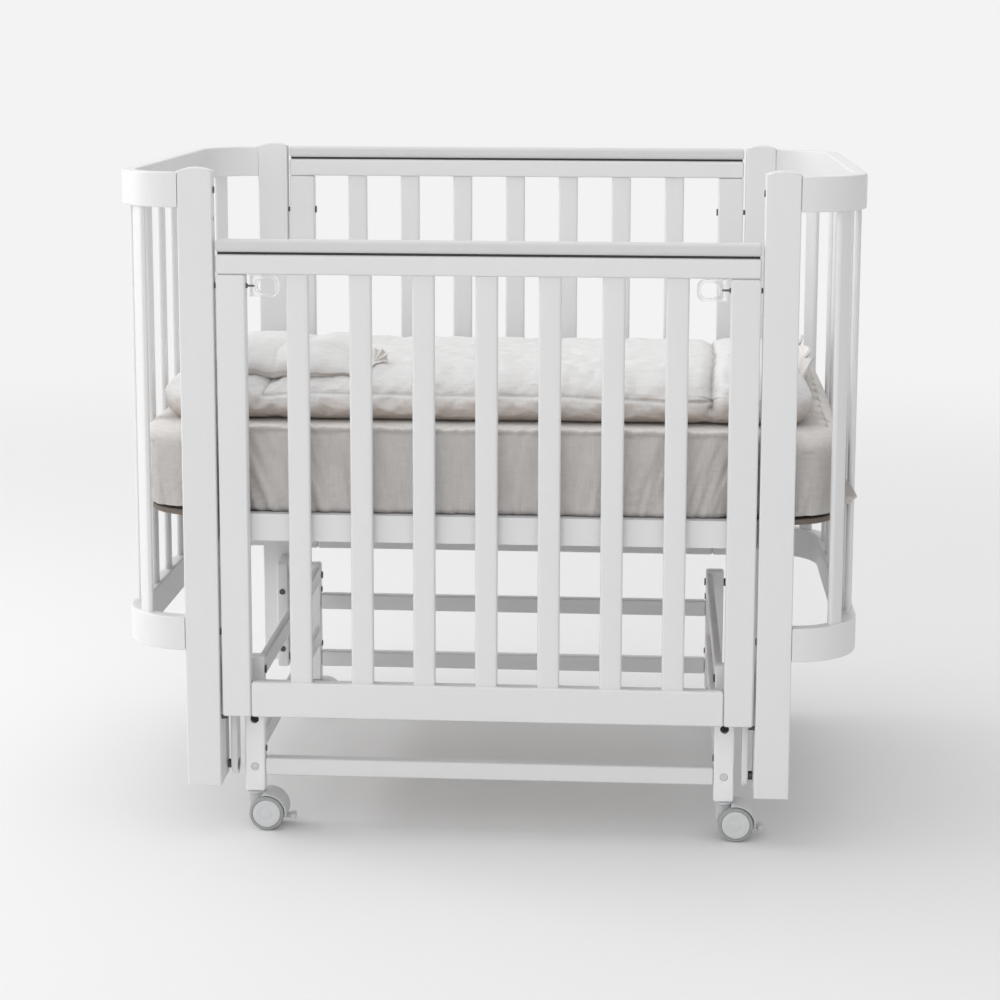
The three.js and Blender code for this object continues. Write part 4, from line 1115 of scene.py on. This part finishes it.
def simulate(piece, pressure, surplus, hold, cap, frames=20):
    """Blow the piece up as cloth. Hold is each point's pull to its start, and no point moves beyond cap."""
    start = mesh_points(piece.data)
    set_points(piece.data, start + 0.0004 * np.random.RandomState(7).uniform(-1, 1, start.shape))
    group = piece.vertex_groups.new(name="hold")
    for index, weight in enumerate(np.broadcast_to(hold, len(start))):
        group.add([index], float(weight), "REPLACE")
    cloth = piece.modifiers.new("cloth", "CLOTH")
    settings = cloth.settings
    settings.quality = 4
    settings.mass = 0.25
    settings.tension_stiffness = settings.compression_stiffness = 12
    settings.shear_stiffness = 4
    settings.bending_stiffness = 0.3
    settings.tension_damping = settings.compression_damping = 12
    settings.use_pressure = True
    settings.uniform_pressure_force = pressure
    settings.vertex_group_mass = "hold"
    settings.pin_stiffness = 1
    settings.shrink_min = -surplus
    settings.effector_weights.gravity = 0
    cloth.collision_settings.use_collision = False
    cloth.point_cache.frame_end = frames
    for frame_number in range(1, frames + 1):
        scene.frame_set(frame_number)
    shift = mesh_points(piece.evaluated_get(bpy.context.evaluated_depsgraph_get()).to_mesh()) - start
    piece.modifiers.clear()
    piece.vertex_groups.clear()
    scene.frame_set(1)
    length = np.linalg.norm(shift, axis=1)
    shift *= (cap * np.tanh(length / cap) / np.maximum(length, 1e-9))[:, None]
    set_points(piece.data, start + shift)
    print(piece.name, "points", len(start), "mean shift mm", round(float(length.mean()) / MM, 2))


def finish_pad(piece, points, material, crease, replaced=()):
    """Set a pad's points, store its painted shade as the crease value, and give it its material and body."""
    set_points(piece.data, points)
    # Painted shade: the crease value darkens the cloth's colour in its material.
    piece.data.attributes.new("crease", "FLOAT", "POINT").data.foreach_set("value", np.clip(crease, 0, 1))
    piece.data.shade_smooth()
    piece.data.materials.clear()
    piece.data.materials.append(material)
    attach(piece, "crib")
    if replaced:
        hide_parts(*replaced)


def creases(u, v, seed, sharpness=0.14):
    """Narrow wandering lines, 1 on the line and 0 beside it."""
    return np.exp(-((wander(u, v, seed) / sharpness) ** 2))


def line(distance, width):
    """A soft groove's depth share at a distance from its middle."""
    return np.exp(-((distance / width) ** 2))


# %% [markdown]
# The quilt lies folded, so its front edge is two rolls with a stitched seam between them, and it overhangs
# the mattress's edge a little. At its right end a row of tufts draws it in to a roll of its own. The seams
# are pressed into the form before the simulation and held there, so the cloth swells up beside them as
# stuffing does.

# %% Quilt
QUILT_FOOT = 586.6 * MM
QUILT_BOX = (-470 * MM, 452 * MM, -256 * MM, 285 * MM)
QUILT_HEIGHT = 74 * MM
FOLD_X, TUFT_X = -323 * MM, 320 * MM
SEAM_HEIGHT = 41 * MM


def fallen(y, z):
    """The quilt is thinner towards the rear, so heights above its foot shrink there."""
    return QUILT_FOOT + (z - QUILT_FOOT) * (1 - 0.25 * rise(y, QUILT_BOX[2] + 40 * MM, QUILT_BOX[3]))


def seam_distances(x, y, z):
    """Distances from the fold's seam round the front, its upturned left end, and the row of tufts."""
    height = z - QUILT_FOOT
    seam_height = SEAM_HEIGHT - 7 * MM * rise(x, 60 * MM, 300 * MM)
    seam_height = seam_height - 4 * MM * (1 - rise(x, FOLD_X, -285 * MM))
    seam = height - seam_height - 0.8 * MM * wander(x / (50 * MM), 0 * x, 71)
    arc = FOLD_X + 15 * MM * rise(height, 34 * MM, 72 * MM) ** 1.3
    end = np.where(height > 36 * MM, x - arc, np.hypot(x - arc, height - 36 * MM))
    leaning = 12 * MM * (1 - rise(y, -300 * MM, 60 * MM))
    tuft = x - TUFT_X + leaning - 1.5 * MM * wander(y / (40 * MM), z / (30 * MM), 73)
    return seam, end, tuft


def in_seam(x):
    """1 along the fold's seam, and 0 beyond its left end and the tufts."""
    return rise(x, FOLD_X - 4 * MM, FOLD_X + 3 * MM) * (1 - rise(x, TUFT_X - 16 * MM, TUFT_X - 8 * MM))


def densify(piece, wanted):
    """Divide the faces whose middles are wanted once more."""
    mesh = bmesh.new()
    mesh.from_mesh(piece.data)
    middles = np.array([face.calc_center_median() for face in mesh.faces])
    chosen = wanted(*middles.T)
    edges = {edge for face, keep in zip(mesh.faces, chosen) if keep for edge in face.edges}
    edges = sorted(edges, key=lambda edge: edge.index)
    bmesh.ops.subdivide_edges(mesh, edges=edges, cuts=1, use_grid_fill=True)
    bmesh.ops.triangulate(mesh, faces=[face for face in mesh.faces if len(face.verts) > 4])
    mesh.to_mesh(piece.data)
    mesh.free()


quilt = pad("folded_quilt", QUILT_BOX, QUILT_HEIGHT, 27 * MM, 60 * MM, 0.2, 46 * MM, QUILT_FOOT, 7 * MM)
points = mesh_points(quilt.data)
x, y, z = points.T
share = np.clip((z - QUILT_FOOT) / QUILT_HEIGHT, 0, 1)
near_front = rise(-y, -QUILT_BOX[2] - 60 * MM, -QUILT_BOX[2] - 5 * MM)
outer = near_front + rise(y, QUILT_BOX[3] - 60 * MM, QUILT_BOX[3] - 5 * MM)
seam, end, tuft = seam_distances(x, y, z)
puff = np.where(x > TUFT_X, 5 * MM, 1 * MM) * (0.6 + 0.4 * wander(x / (110 * MM), y / (120 * MM), 75))
lift = puff * share - 5 * MM * line(tuft, 10 * MM) * share
lift -= 9 * MM * line(end, 14 * MM) * rise(share, 0.55, 0.95)
inward = 3 * MM * line(seam, 6 * MM) * in_seam(x) + 3 * MM * line(end, 8 * MM) + 9 * MM * line(tuft, 10 * MM)
points[:, 1] -= np.sign(y) * inward * outer
points[:, 2] += lift
set_points(quilt.data, points)
held = np.maximum(line(seam, 5 * MM) * in_seam(x), np.maximum(line(end, 5 * MM), line(tuft, 6 * MM)))
simulate(quilt, 3.0, 0.045, np.where(held > 0.45, 1.0, 0.12), 4.5 * MM)

# %% [markdown]
# After the simulation the mesh is divided, most of all along the front and the tufts, and the finest forms
# come on: the rounded underside over the mattress's edge, the seams' sharp grooves with their lips, puckers
# that run out from the tufts and the seam, and the long crinkles that muslin keeps from its folding.

# %% Quilt: seams and crinkles
UNDERSIDE_FROM, UNDERSIDE_REACH, UNDERSIDE_RISE = -215 * MM, 42 * MM, 27 * MM


def underside(x, y):
    """The least height of the quilt near its front edge, which curls up clear of the sheet."""
    share = np.clip((UNDERSIDE_FROM - y) / UNDERSIDE_REACH + 0.05 * wander(x / (45 * MM), 0 * x, 74), 0, 1)
    notch = 2.5 * MM * line(x + 308 * MM, 10 * MM) + 2.5 * MM * line(x - TUFT_X + 18 * MM, 9 * MM)
    return QUILT_FOOT + UNDERSIDE_RISE * (1 - np.sqrt(1 - 0.985 * share**2)) + notch * line(share - 0.4, 0.25)


with_modifier(quilt, "SUBSURF", levels=1, render_levels=1)
densify(quilt, lambda x, y, z: (y < -200 * MM) | (np.abs(x - TUFT_X + 4 * MM) < 26 * MM))
densify(quilt, lambda x, y, z: np.abs(seam_distances(x, y, z)[2]) < 7 * MM)
points, normals = mesh_points(quilt.data), mesh_points(quilt.data, "normal")
x, y, z = points.T
seam, end, tuft = seam_distances(x, y, z)
front = rise(-y, -QUILT_BOX[2] - 60 * MM, -QUILT_BOX[2] - 26 * MM)
above = np.where(seam > 0, line(seam, 2.4 * MM), line(seam, 1.5 * MM))
lip = line(seam + 5 * MM, 3.5 * MM)
in_arc = front * rise(z, QUILT_FOOT + 34 * MM, QUILT_FOOT + 40 * MM)
groove = (1.8 * above - 0.9 * lip) * in_seam(x) * front + 2.2 * line(end, 2.4 * MM) * in_arc
stitches = 0.82 + 0.18 * np.sin(y * 2 * math.pi / (13 * MM) + 1.5 * wander(y / (40 * MM), 0 * y, 82))
high = rise(z, QUILT_FOOT + 12 * MM, QUILT_FOOT + 24 * MM)
groove += 10 * np.exp(-np.abs(tuft) / (2.2 * MM)) * stitches * high
# Painted shade: the crease value darkens the colour along the seam, the fold's upturned end and the tufts.
crease = 0.45 * line(seam, 1.6 * MM) * in_seam(x) * front + 0.4 * line(end, 1.6 * MM) * in_arc
crease = np.maximum(crease, np.exp(-np.abs(tuft) / (1.8 * MM)) * high * (0.3 + 0.4 * stitches))
shoulder = line(seam - 12 * MM, 9 * MM) * front
crinkles = creases(x / (70 * MM), (y + z * 1.3) / (9 * MM), 77) * (0.25 + 1.0 * shoulder)
beside_tuft = np.exp(-np.abs(tuft) / (28 * MM)) * rise(np.abs(tuft), 0, 6 * MM)
pucker = creases(x / (75 * MM), (y + 1.5 * z + 0.12 * np.abs(tuft)) / (17 * MM), 78) * beside_tuft
seam_pucker = creases(x / (9 * MM), z / (40 * MM), 79, 0.25) * line(seam + 5 * MM, 6 * MM)
seam_pucker *= front
seam_pucker *= in_seam(x)
soft = wander((x + 0.4 * y) / (34 * MM), (y - 0.3 * x + z) / (27 * MM), 80) * 0.8
relief_mm = soft - 0.6 * crinkles - 1.6 * pucker - 1.2 * seam_pucker - groove
points += normals * (relief_mm * MM)[:, None]
points[:, 1] = np.maximum(points[:, 1], QUILT_BOX[2])
points[:, 2] = np.maximum(points[:, 2], underside(points[:, 0], points[:, 1]))
points[:, 2] = fallen(points[:, 1], points[:, 2])
finish_pad(quilt, points, quilt_cloth, crease, ("quilt", "bolster"))
print("quilt points:", len(points))

# %% [markdown]
# A second, thinner pad lies folded on the quilt's left end, and its underside has to follow the quilt. The
# quilt's heights are felt out with rays from above, over a grid, and looked up there afterwards.

# %% Heights of the quilt's top
GRID_PITCH, RAY_FROM, BRIDGE_SLOPE = 10 * MM, 0.8, 0.24
GRID_X, GRID_Y = np.linspace(-480 * MM, 480 * MM, 97), np.linspace(-310 * MM, 300 * MM, 62)


def felt_heights(piece):
    """The height of a piece's top over a grid of places 10 mm apart."""
    corners = [vertex.co for vertex in piece.data.vertices]
    tree = BVHTree.FromPolygons(corners, [face.vertices for face in piece.data.polygons])
    heights = np.full((len(GRID_Y), len(GRID_X)), QUILT_FOOT)
    for row, y in enumerate(GRID_Y):
        for column, x in enumerate(GRID_X):
            hit = tree.ray_cast(Vector((x, y, RAY_FROM)), Vector((0, 0, -1)))[0]
            if hit is not None:
                heights[row, column] = hit.z
    return heights


def grid_value(table, x, y):
    """A value between the grid's places."""
    across = np.clip((np.asarray(x) - GRID_X[0]) / (GRID_X[1] - GRID_X[0]), 0, len(GRID_X) - 1.001)
    along = np.clip((np.asarray(y) - GRID_Y[0]) / (GRID_Y[1] - GRID_Y[0]), 0, len(GRID_Y) - 1.001)
    i, j = across.astype(int), along.astype(int)
    a, b = across - i, along - j
    near = table[j, i] * (1 - a) + table[j, i + 1] * a
    return near * (1 - b) + (table[j + 1, i] * (1 - a) + table[j + 1, i + 1] * a) * b


quilt_top = felt_heights(quilt)
bridged = quilt_top.copy()
for reach in (1, 2, 3, 4):
    for shift in (-reach, reach):
        bridged = np.maximum(bridged, np.roll(quilt_top, shift, axis=1) - BRIDGE_SLOPE * reach * GRID_PITCH)
print("quilt's highest point at z", round(float(quilt_top.max()), 3))

# %% [markdown]
# The layer bridges the dip beside the quilt's fold, so a dark wedge shows under its front edge. Folds run out
# from the tie at its front corner. Its thickness runs out to the right and to the rear, where its edge sinks
# into the quilt and no gap shows.

# %% Folded layer
LAYER_BOX = (-443 * MM, -163 * MM, -234 * MM, 228 * MM)
LAYER_HEIGHT = 25 * MM
TIE_AT = Vector((-168 * MM, -196 * MM, 0))

layer = pad("folded_layer", LAYER_BOX, LAYER_HEIGHT, 9 * MM, 18 * MM, 1.0, 42 * MM, 0, 5 * MM)
simulate(layer, 2.5, 0.05, 0.1, 5 * MM)
with_modifier(layer, "SUBSURF", levels=1, render_levels=1)
points, normals = mesh_points(layer.data), mesh_points(layer.data, "normal")
x, y, z = points.T
from_tie = np.hypot(x - TIE_AT.x, y - TIE_AT.y)
angle = np.arctan2(y - TIE_AT.y, x - TIE_AT.x)
rays = np.sin(9 * angle + 2.2 * np.sin(2 * angle)) * line(from_tie, 42 * MM) * rise(from_tie, 0, 9 * MM)
long_crinkle = wander(x / (45 * MM), (y + z) / (7 * MM), 81) * 0.5
side_seam = line(z - LAYER_HEIGHT * 0.35, 2 * MM) * rise(-y, -LAYER_BOX[2] - 14 * MM, -LAYER_BOX[2]) * 1.4
round_part = np.hypot(np.minimum(x + 273 * MM, 0), y + 138 * MM) - 36 * MM
corner_seam = np.where(y < -138 * MM, np.abs(x + 309 * MM), round_part)
top_seam = line(corner_seam, 2.2 * MM) * rise(z, LAYER_HEIGHT * 0.6, LAYER_HEIGHT * 0.9) * (x > -312 * MM)
# Painted shade: the lower part of the front face and the top seam's groove are darkened by the crease value.
front_painted_shade = rise(-y, -LAYER_BOX[2] - 24 * MM, -LAYER_BOX[2] - 8 * MM)
front_painted_shade *= 1 - rise(z, 0.4 * LAYER_HEIGHT, 1.1 * LAYER_HEIGHT)
points += normals * ((2.0 * rays + long_crinkle - side_seam - top_seam) * MM)[:, None]
thin = (1 - 0.72 * rise(y, -200 * MM, 120 * MM)) * (1 - 0.62 * rise(x, -300 * MM, LAYER_BOX[1]))
thin *= 1 - 0.45 * line(from_tie, 26 * MM)
running_out = rise(x, -265 * MM, -182 * MM) * rise(y, -218 * MM, -160 * MM)
thin *= 1 - 0.9 * running_out
resting = grid_value(bridged, points[:, 0], points[:, 1])
points[:, 2] = resting + np.maximum(points[:, 2], 0.3 * MM) * thin
sunk = 4.5 * MM * rise(x, -222 * MM, -186 * MM) * rise(y, -214 * MM, -170 * MM)
sunk = np.maximum(sunk, 3.5 * MM * rise(y, LAYER_BOX[3] - 26 * MM, LAYER_BOX[3] - 6 * MM))
points[:, 2] = np.maximum(points[:, 2], grid_value(quilt_top, points[:, 0], points[:, 1]) + 0.3 * MM) - sunk
finish_pad(layer, points, quilt_cloth, 0.2 * top_seam + 0.4 * front_painted_shade, ("pillow",))
print("folded layer points:", len(points))

# %% [markdown]
# Ribbons tie the bedding. At the right a wide one lies in a ruffle: a row of stations along a waving path,
# each with a direction across. At the folded layer's corner a narrow one ends in a bow, which is a fan of
# pleats from one root. Both are skins with two sides, so that they read well from all round.

# %% Ribbons and ruffles


def strip(path, across, width, thick):
    """A ribbon along a path. Across gives the direction of its width at each station."""
    path = np.asarray(path, dtype=float)
    along = np.gradient(path, axis=0)
    across = np.broadcast_to(np.asarray(across, dtype=float), path.shape)
    across = across / np.linalg.norm(across, axis=1)[:, None]
    normal = np.cross(along, across)
    normal /= np.linalg.norm(normal, axis=1)[:, None]
    widths = np.broadcast_to(np.asarray(width, dtype=float), (len(path),))[:, None]
    rings = []
    stations = np.linspace(-0.5, 0.5, 9)
    for side, order in ((1, stations), (-1, stations[::-1])):
        for share in order:
            rings.append(path + across * share * widths + normal * (side * thick / 2))
    return loft(np.stack(rings, axis=1))


def ruffle(start, end, count, depth, direction, steps):
    """A path that runs from start to end in even loops to one side."""
    share = np.linspace(0, 1, steps)[:, None]
    start, end, direction = (np.asarray(value, dtype=float) for value in (start, end, direction))
    waves = np.sin(share * count * 2 * math.pi) * depth
    return start + (end - start) * share + direction * waves


def path_length(path):
    return float(np.linalg.norm(np.diff(np.asarray(path), axis=0), axis=1).sum())


def ribbon(name, path, across, width, thick):
    """A named ribbon along a path."""
    piece = make_piece(name, strip(path, across, width, thick), tie_cloth, "crib", (), 60)
    print(name, "length mm", round(path_length(path) / MM))


def pleated_fan(root, turns, length, waves, depth, thick):
    """A ribbon's end, gathered at its root and opening into pleats: its skin, its run and its area."""
    steps = 80
    shares = np.linspace(0.08, 1, 10)
    face = np.array([0, -0.87, 0.5])
    rows = []
    for step in range(steps + 1):
        share = step / steps
        turn = turns[0] + (turns[1] - turns[0]) * share
        out = np.array([math.cos(turn), 0.5 * math.sin(turn), 0.87 * math.sin(turn)])
        phase = share * waves * 2 * math.pi
        reach = length * (1 - 0.1 * math.cos(phase)) * (0.75 + 0.35 * math.sin(share * math.pi))
        pleat = depth * math.sin(phase)
        rows.append([root + out * reach * s + face * pleat * s**1.2 for s in shares])
    rows = np.array(rows)
    skin = loft(np.concatenate([rows + face * thick / 2, (rows - face * thick / 2)[:, ::-1]], axis=1))
    runs = np.linalg.norm(np.diff(rows, axis=0), axis=2)
    across = np.linalg.norm(np.diff(rows, axis=1), axis=2).mean()
    return skin, float(runs.mean(axis=1).sum()), float(runs.mean(axis=1).sum() * across * (len(shares) - 1))


BOW_TURNS = (math.radians(-8), math.radians(112))
BOW_LENGTH, BOW_PLEATS, PLEAT_DEPTH, BOW_THICK = 21 * MM, 4, 3.4 * MM, 1.6 * MM
root_height = float(grid_value(quilt_top, TIE_AT.x, TIE_AT.y)) + 2 * MM
bow_root = np.array([TIE_AT.x - 2 * MM, TIE_AT.y - 6 * MM, root_height])
fan, fan_run, fan_area = pleated_fan(bow_root, BOW_TURNS, BOW_LENGTH, BOW_PLEATS, PLEAT_DEPTH, BOW_THICK)
bow = make_piece("layer_tie_bow", fan, tie_cloth, "crib", (), 60)
print("bow: run mm", round(fan_run / MM), "area mm2", round(fan_area / MM**2))

GATHERS, GATHER_DEPTH, STATIONS = 3, 6 * MM, 220
GATHER_FROM, GATHER_TO = (436 * MM, 190 * MM, 660 * MM), (454 * MM, -52 * MM, 637 * MM)
swing = np.linspace(0, GATHERS * 2 * math.pi, STATIONS)
gather = ruffle(GATHER_FROM, GATHER_TO, GATHERS, GATHER_DEPTH, (1, 0.5, 0.4), STATIONS)
hang = np.column_stack([0.35 + 0.2 * np.sin(swing + 1), 0.25 * np.cos(swing), np.ones(STATIONS)])
ribbon("quilt_tie_right", gather, hang, (36 + 6 * np.cos(swing)) * MM, 4 * MM)

# %% [markdown]
# At the right end a corner of the sheet has slipped out of its hem and hangs between two slats.

# %% Flap of the sheet
downs = [0, 0.45, 0.8, 1]
edge_x, edge_z = [497 * MM, 508 * MM, 515 * MM, 502 * MM], [518 * MM, 504 * MM, 491 * MM, 480 * MM]
flap_rows = []
for down in np.linspace(0, 1, 22):
    right_x, right_z = np.interp(down, downs, edge_x), np.interp(down, downs, edge_z)
    left_z = 519 * MM - 37 * MM * down
    across = np.linspace(0, 1, 17)
    wave = 3.5 * MM * np.sin(across * 4.2) * (0.3 + down)
    flap_x = BED_HALF_X - 9 * MM + (right_x - BED_HALF_X + 9 * MM) * across
    flap_y, flap_z = -256 * MM + wave + 5 * MM * down, left_z + (right_z - left_z) * across
    flap_rows.append(np.column_stack([flap_x, flap_y, flap_z]))
outer_face = np.array(flap_rows)
inner_face = outer_face + np.array([0, 1 * MM, 0])
flap_rings = np.concatenate([outer_face, inner_face[:, ::-1]], axis=1)
flap = make_piece("sheet_flap", loft(flap_rings), sheet_cloth, "crib", (), 60)
print("flap at x", round(float(outer_face[:, :, 0].max()), 4))

# %% [markdown]
# The floor is pale and fades into a surround of one colour, so no horizon shows. That surround is only for
# what is seen: by the camera, in reflections and through the clear latch pulls. A Light Path node tells such
# rays from those that carry light, so the surround's colour lights nothing.

# %% Floor
FLOOR_HALF = 30
FADE_FROM, FADE_TO = 0.9, 4.5
SURROUND = linear(243, 243, 243)


def seen_directly(tree):
    """1 for rays from the camera, off glossy and through clear surfaces, and 0 for the others."""
    rays = tree.nodes.new("ShaderNodeLightPath").outputs
    seen = combine(tree, "MAXIMUM", rays["Is Camera Ray"], rays["Is Glossy Ray"])
    return combine(tree, "MAXIMUM", seen, rays["Is Transmission Ray"])


floor_mesh = bpy.data.meshes.new("floor")
corners = [(x * FLOOR_HALF, y * FLOOR_HALF, 0) for x, y in ((-1, -1), (1, -1), (1, 1), (-1, 1))]
floor_mesh.from_pydata(corners, [], [(0, 1, 2, 3)])
floor = bpy.data.objects.new("floor", floor_mesh)
scene.collection.objects.link(floor)
floor_material, tree, shader, place = start_finish("floor paint", 0.7)
shader.inputs["Base Color"].default_value = (*linear(238, 238, 238), 1)
cloud = noise(tree, place, 60, 3)
tree.links.new(combine(tree, "MULTIPLY_ADD", cloud, 0.1, 0.65), shader.inputs["Roughness"])
away = add_node(tree, "ShaderNodeVectorMath", {0: place}, operation="LENGTH").outputs["Value"]
fade = combine(tree, "MULTIPLY", smooth_range(tree, away, FADE_FROM, FADE_TO), seen_directly(tree))
glow = add_node(tree, "ShaderNodeEmission", {"Color": (*SURROUND, 1), "Strength": 1}).outputs[0]
blend = add_node(tree, "ShaderNodeMixShader", {0: fade, 1: shader.outputs[0], 2: glow})
tree.links.new(blend.outputs[0], tree.nodes["Material Output"].inputs[0])
floor_mesh.materials.append(floor_material)
print("floor half width", FLOOR_HALF, "m")

# %% [markdown]
# A white painted crib needs soft, even light. The world lights it from all round, more from the left than
# from the right. A lamp at the left shapes it, and weaker ones above and in front open the shadows. Together
# they stay near a level at which a white board comes out as bright as it is written.

# %% World and lamps
WORLD_LEVEL, WORLD_TILT = 0.74, -0.36
LAMP_TARGET = (0, 0, 0.5)

world = bpy.data.worlds.new("surround")
scene.world = world
world.use_nodes = True
tree = world.node_tree
for node in list(tree.nodes):
    tree.nodes.remove(node)
direction = tree.nodes.new("ShaderNodeTexCoord").outputs["Generated"]
level = combine(tree, "MULTIPLY_ADD", component(tree, direction, "X"), WORLD_TILT, WORLD_LEVEL)
lighting = add_node(tree, "ShaderNodeBackground", {"Color": (1, 1, 1, 1), "Strength": level}).outputs[0]
surround = add_node(tree, "ShaderNodeBackground", {"Color": (*SURROUND, 1), "Strength": 1}).outputs[0]
mixed = add_node(tree, "ShaderNodeMixShader", {0: seen_directly(tree), 1: lighting, 2: surround}).outputs[0]
add_node(tree, "ShaderNodeOutputWorld", {0: mixed})


def soft_lamp(name, place, size, power):
    """A square area lamp that faces the crib's middle."""
    data = bpy.data.lights.new(name, "AREA")
    data.shape = "SQUARE"
    data.size = size
    data.energy = power
    lamp = bpy.data.objects.new(name, data)
    scene.collection.objects.link(lamp)
    lamp.location = place
    lamp.rotation_euler = (Vector(LAMP_TARGET) - Vector(place)).to_track_quat("-Z", "Y").to_euler()


soft_lamp("top", (0, 0, 3.4), 3.0, 20)
soft_lamp("left", (-3.6, 0.3, 1.8), 2.0, 45)
soft_lamp("front", (-0.5, -4.1, 2.2), 2.5, 19)
scene.view_settings.view_transform = "Standard"
print("lamps set")

# %% [markdown]
# The last cell brings the view layer up to date.

# %% End
bpy.context.view_layer.update()
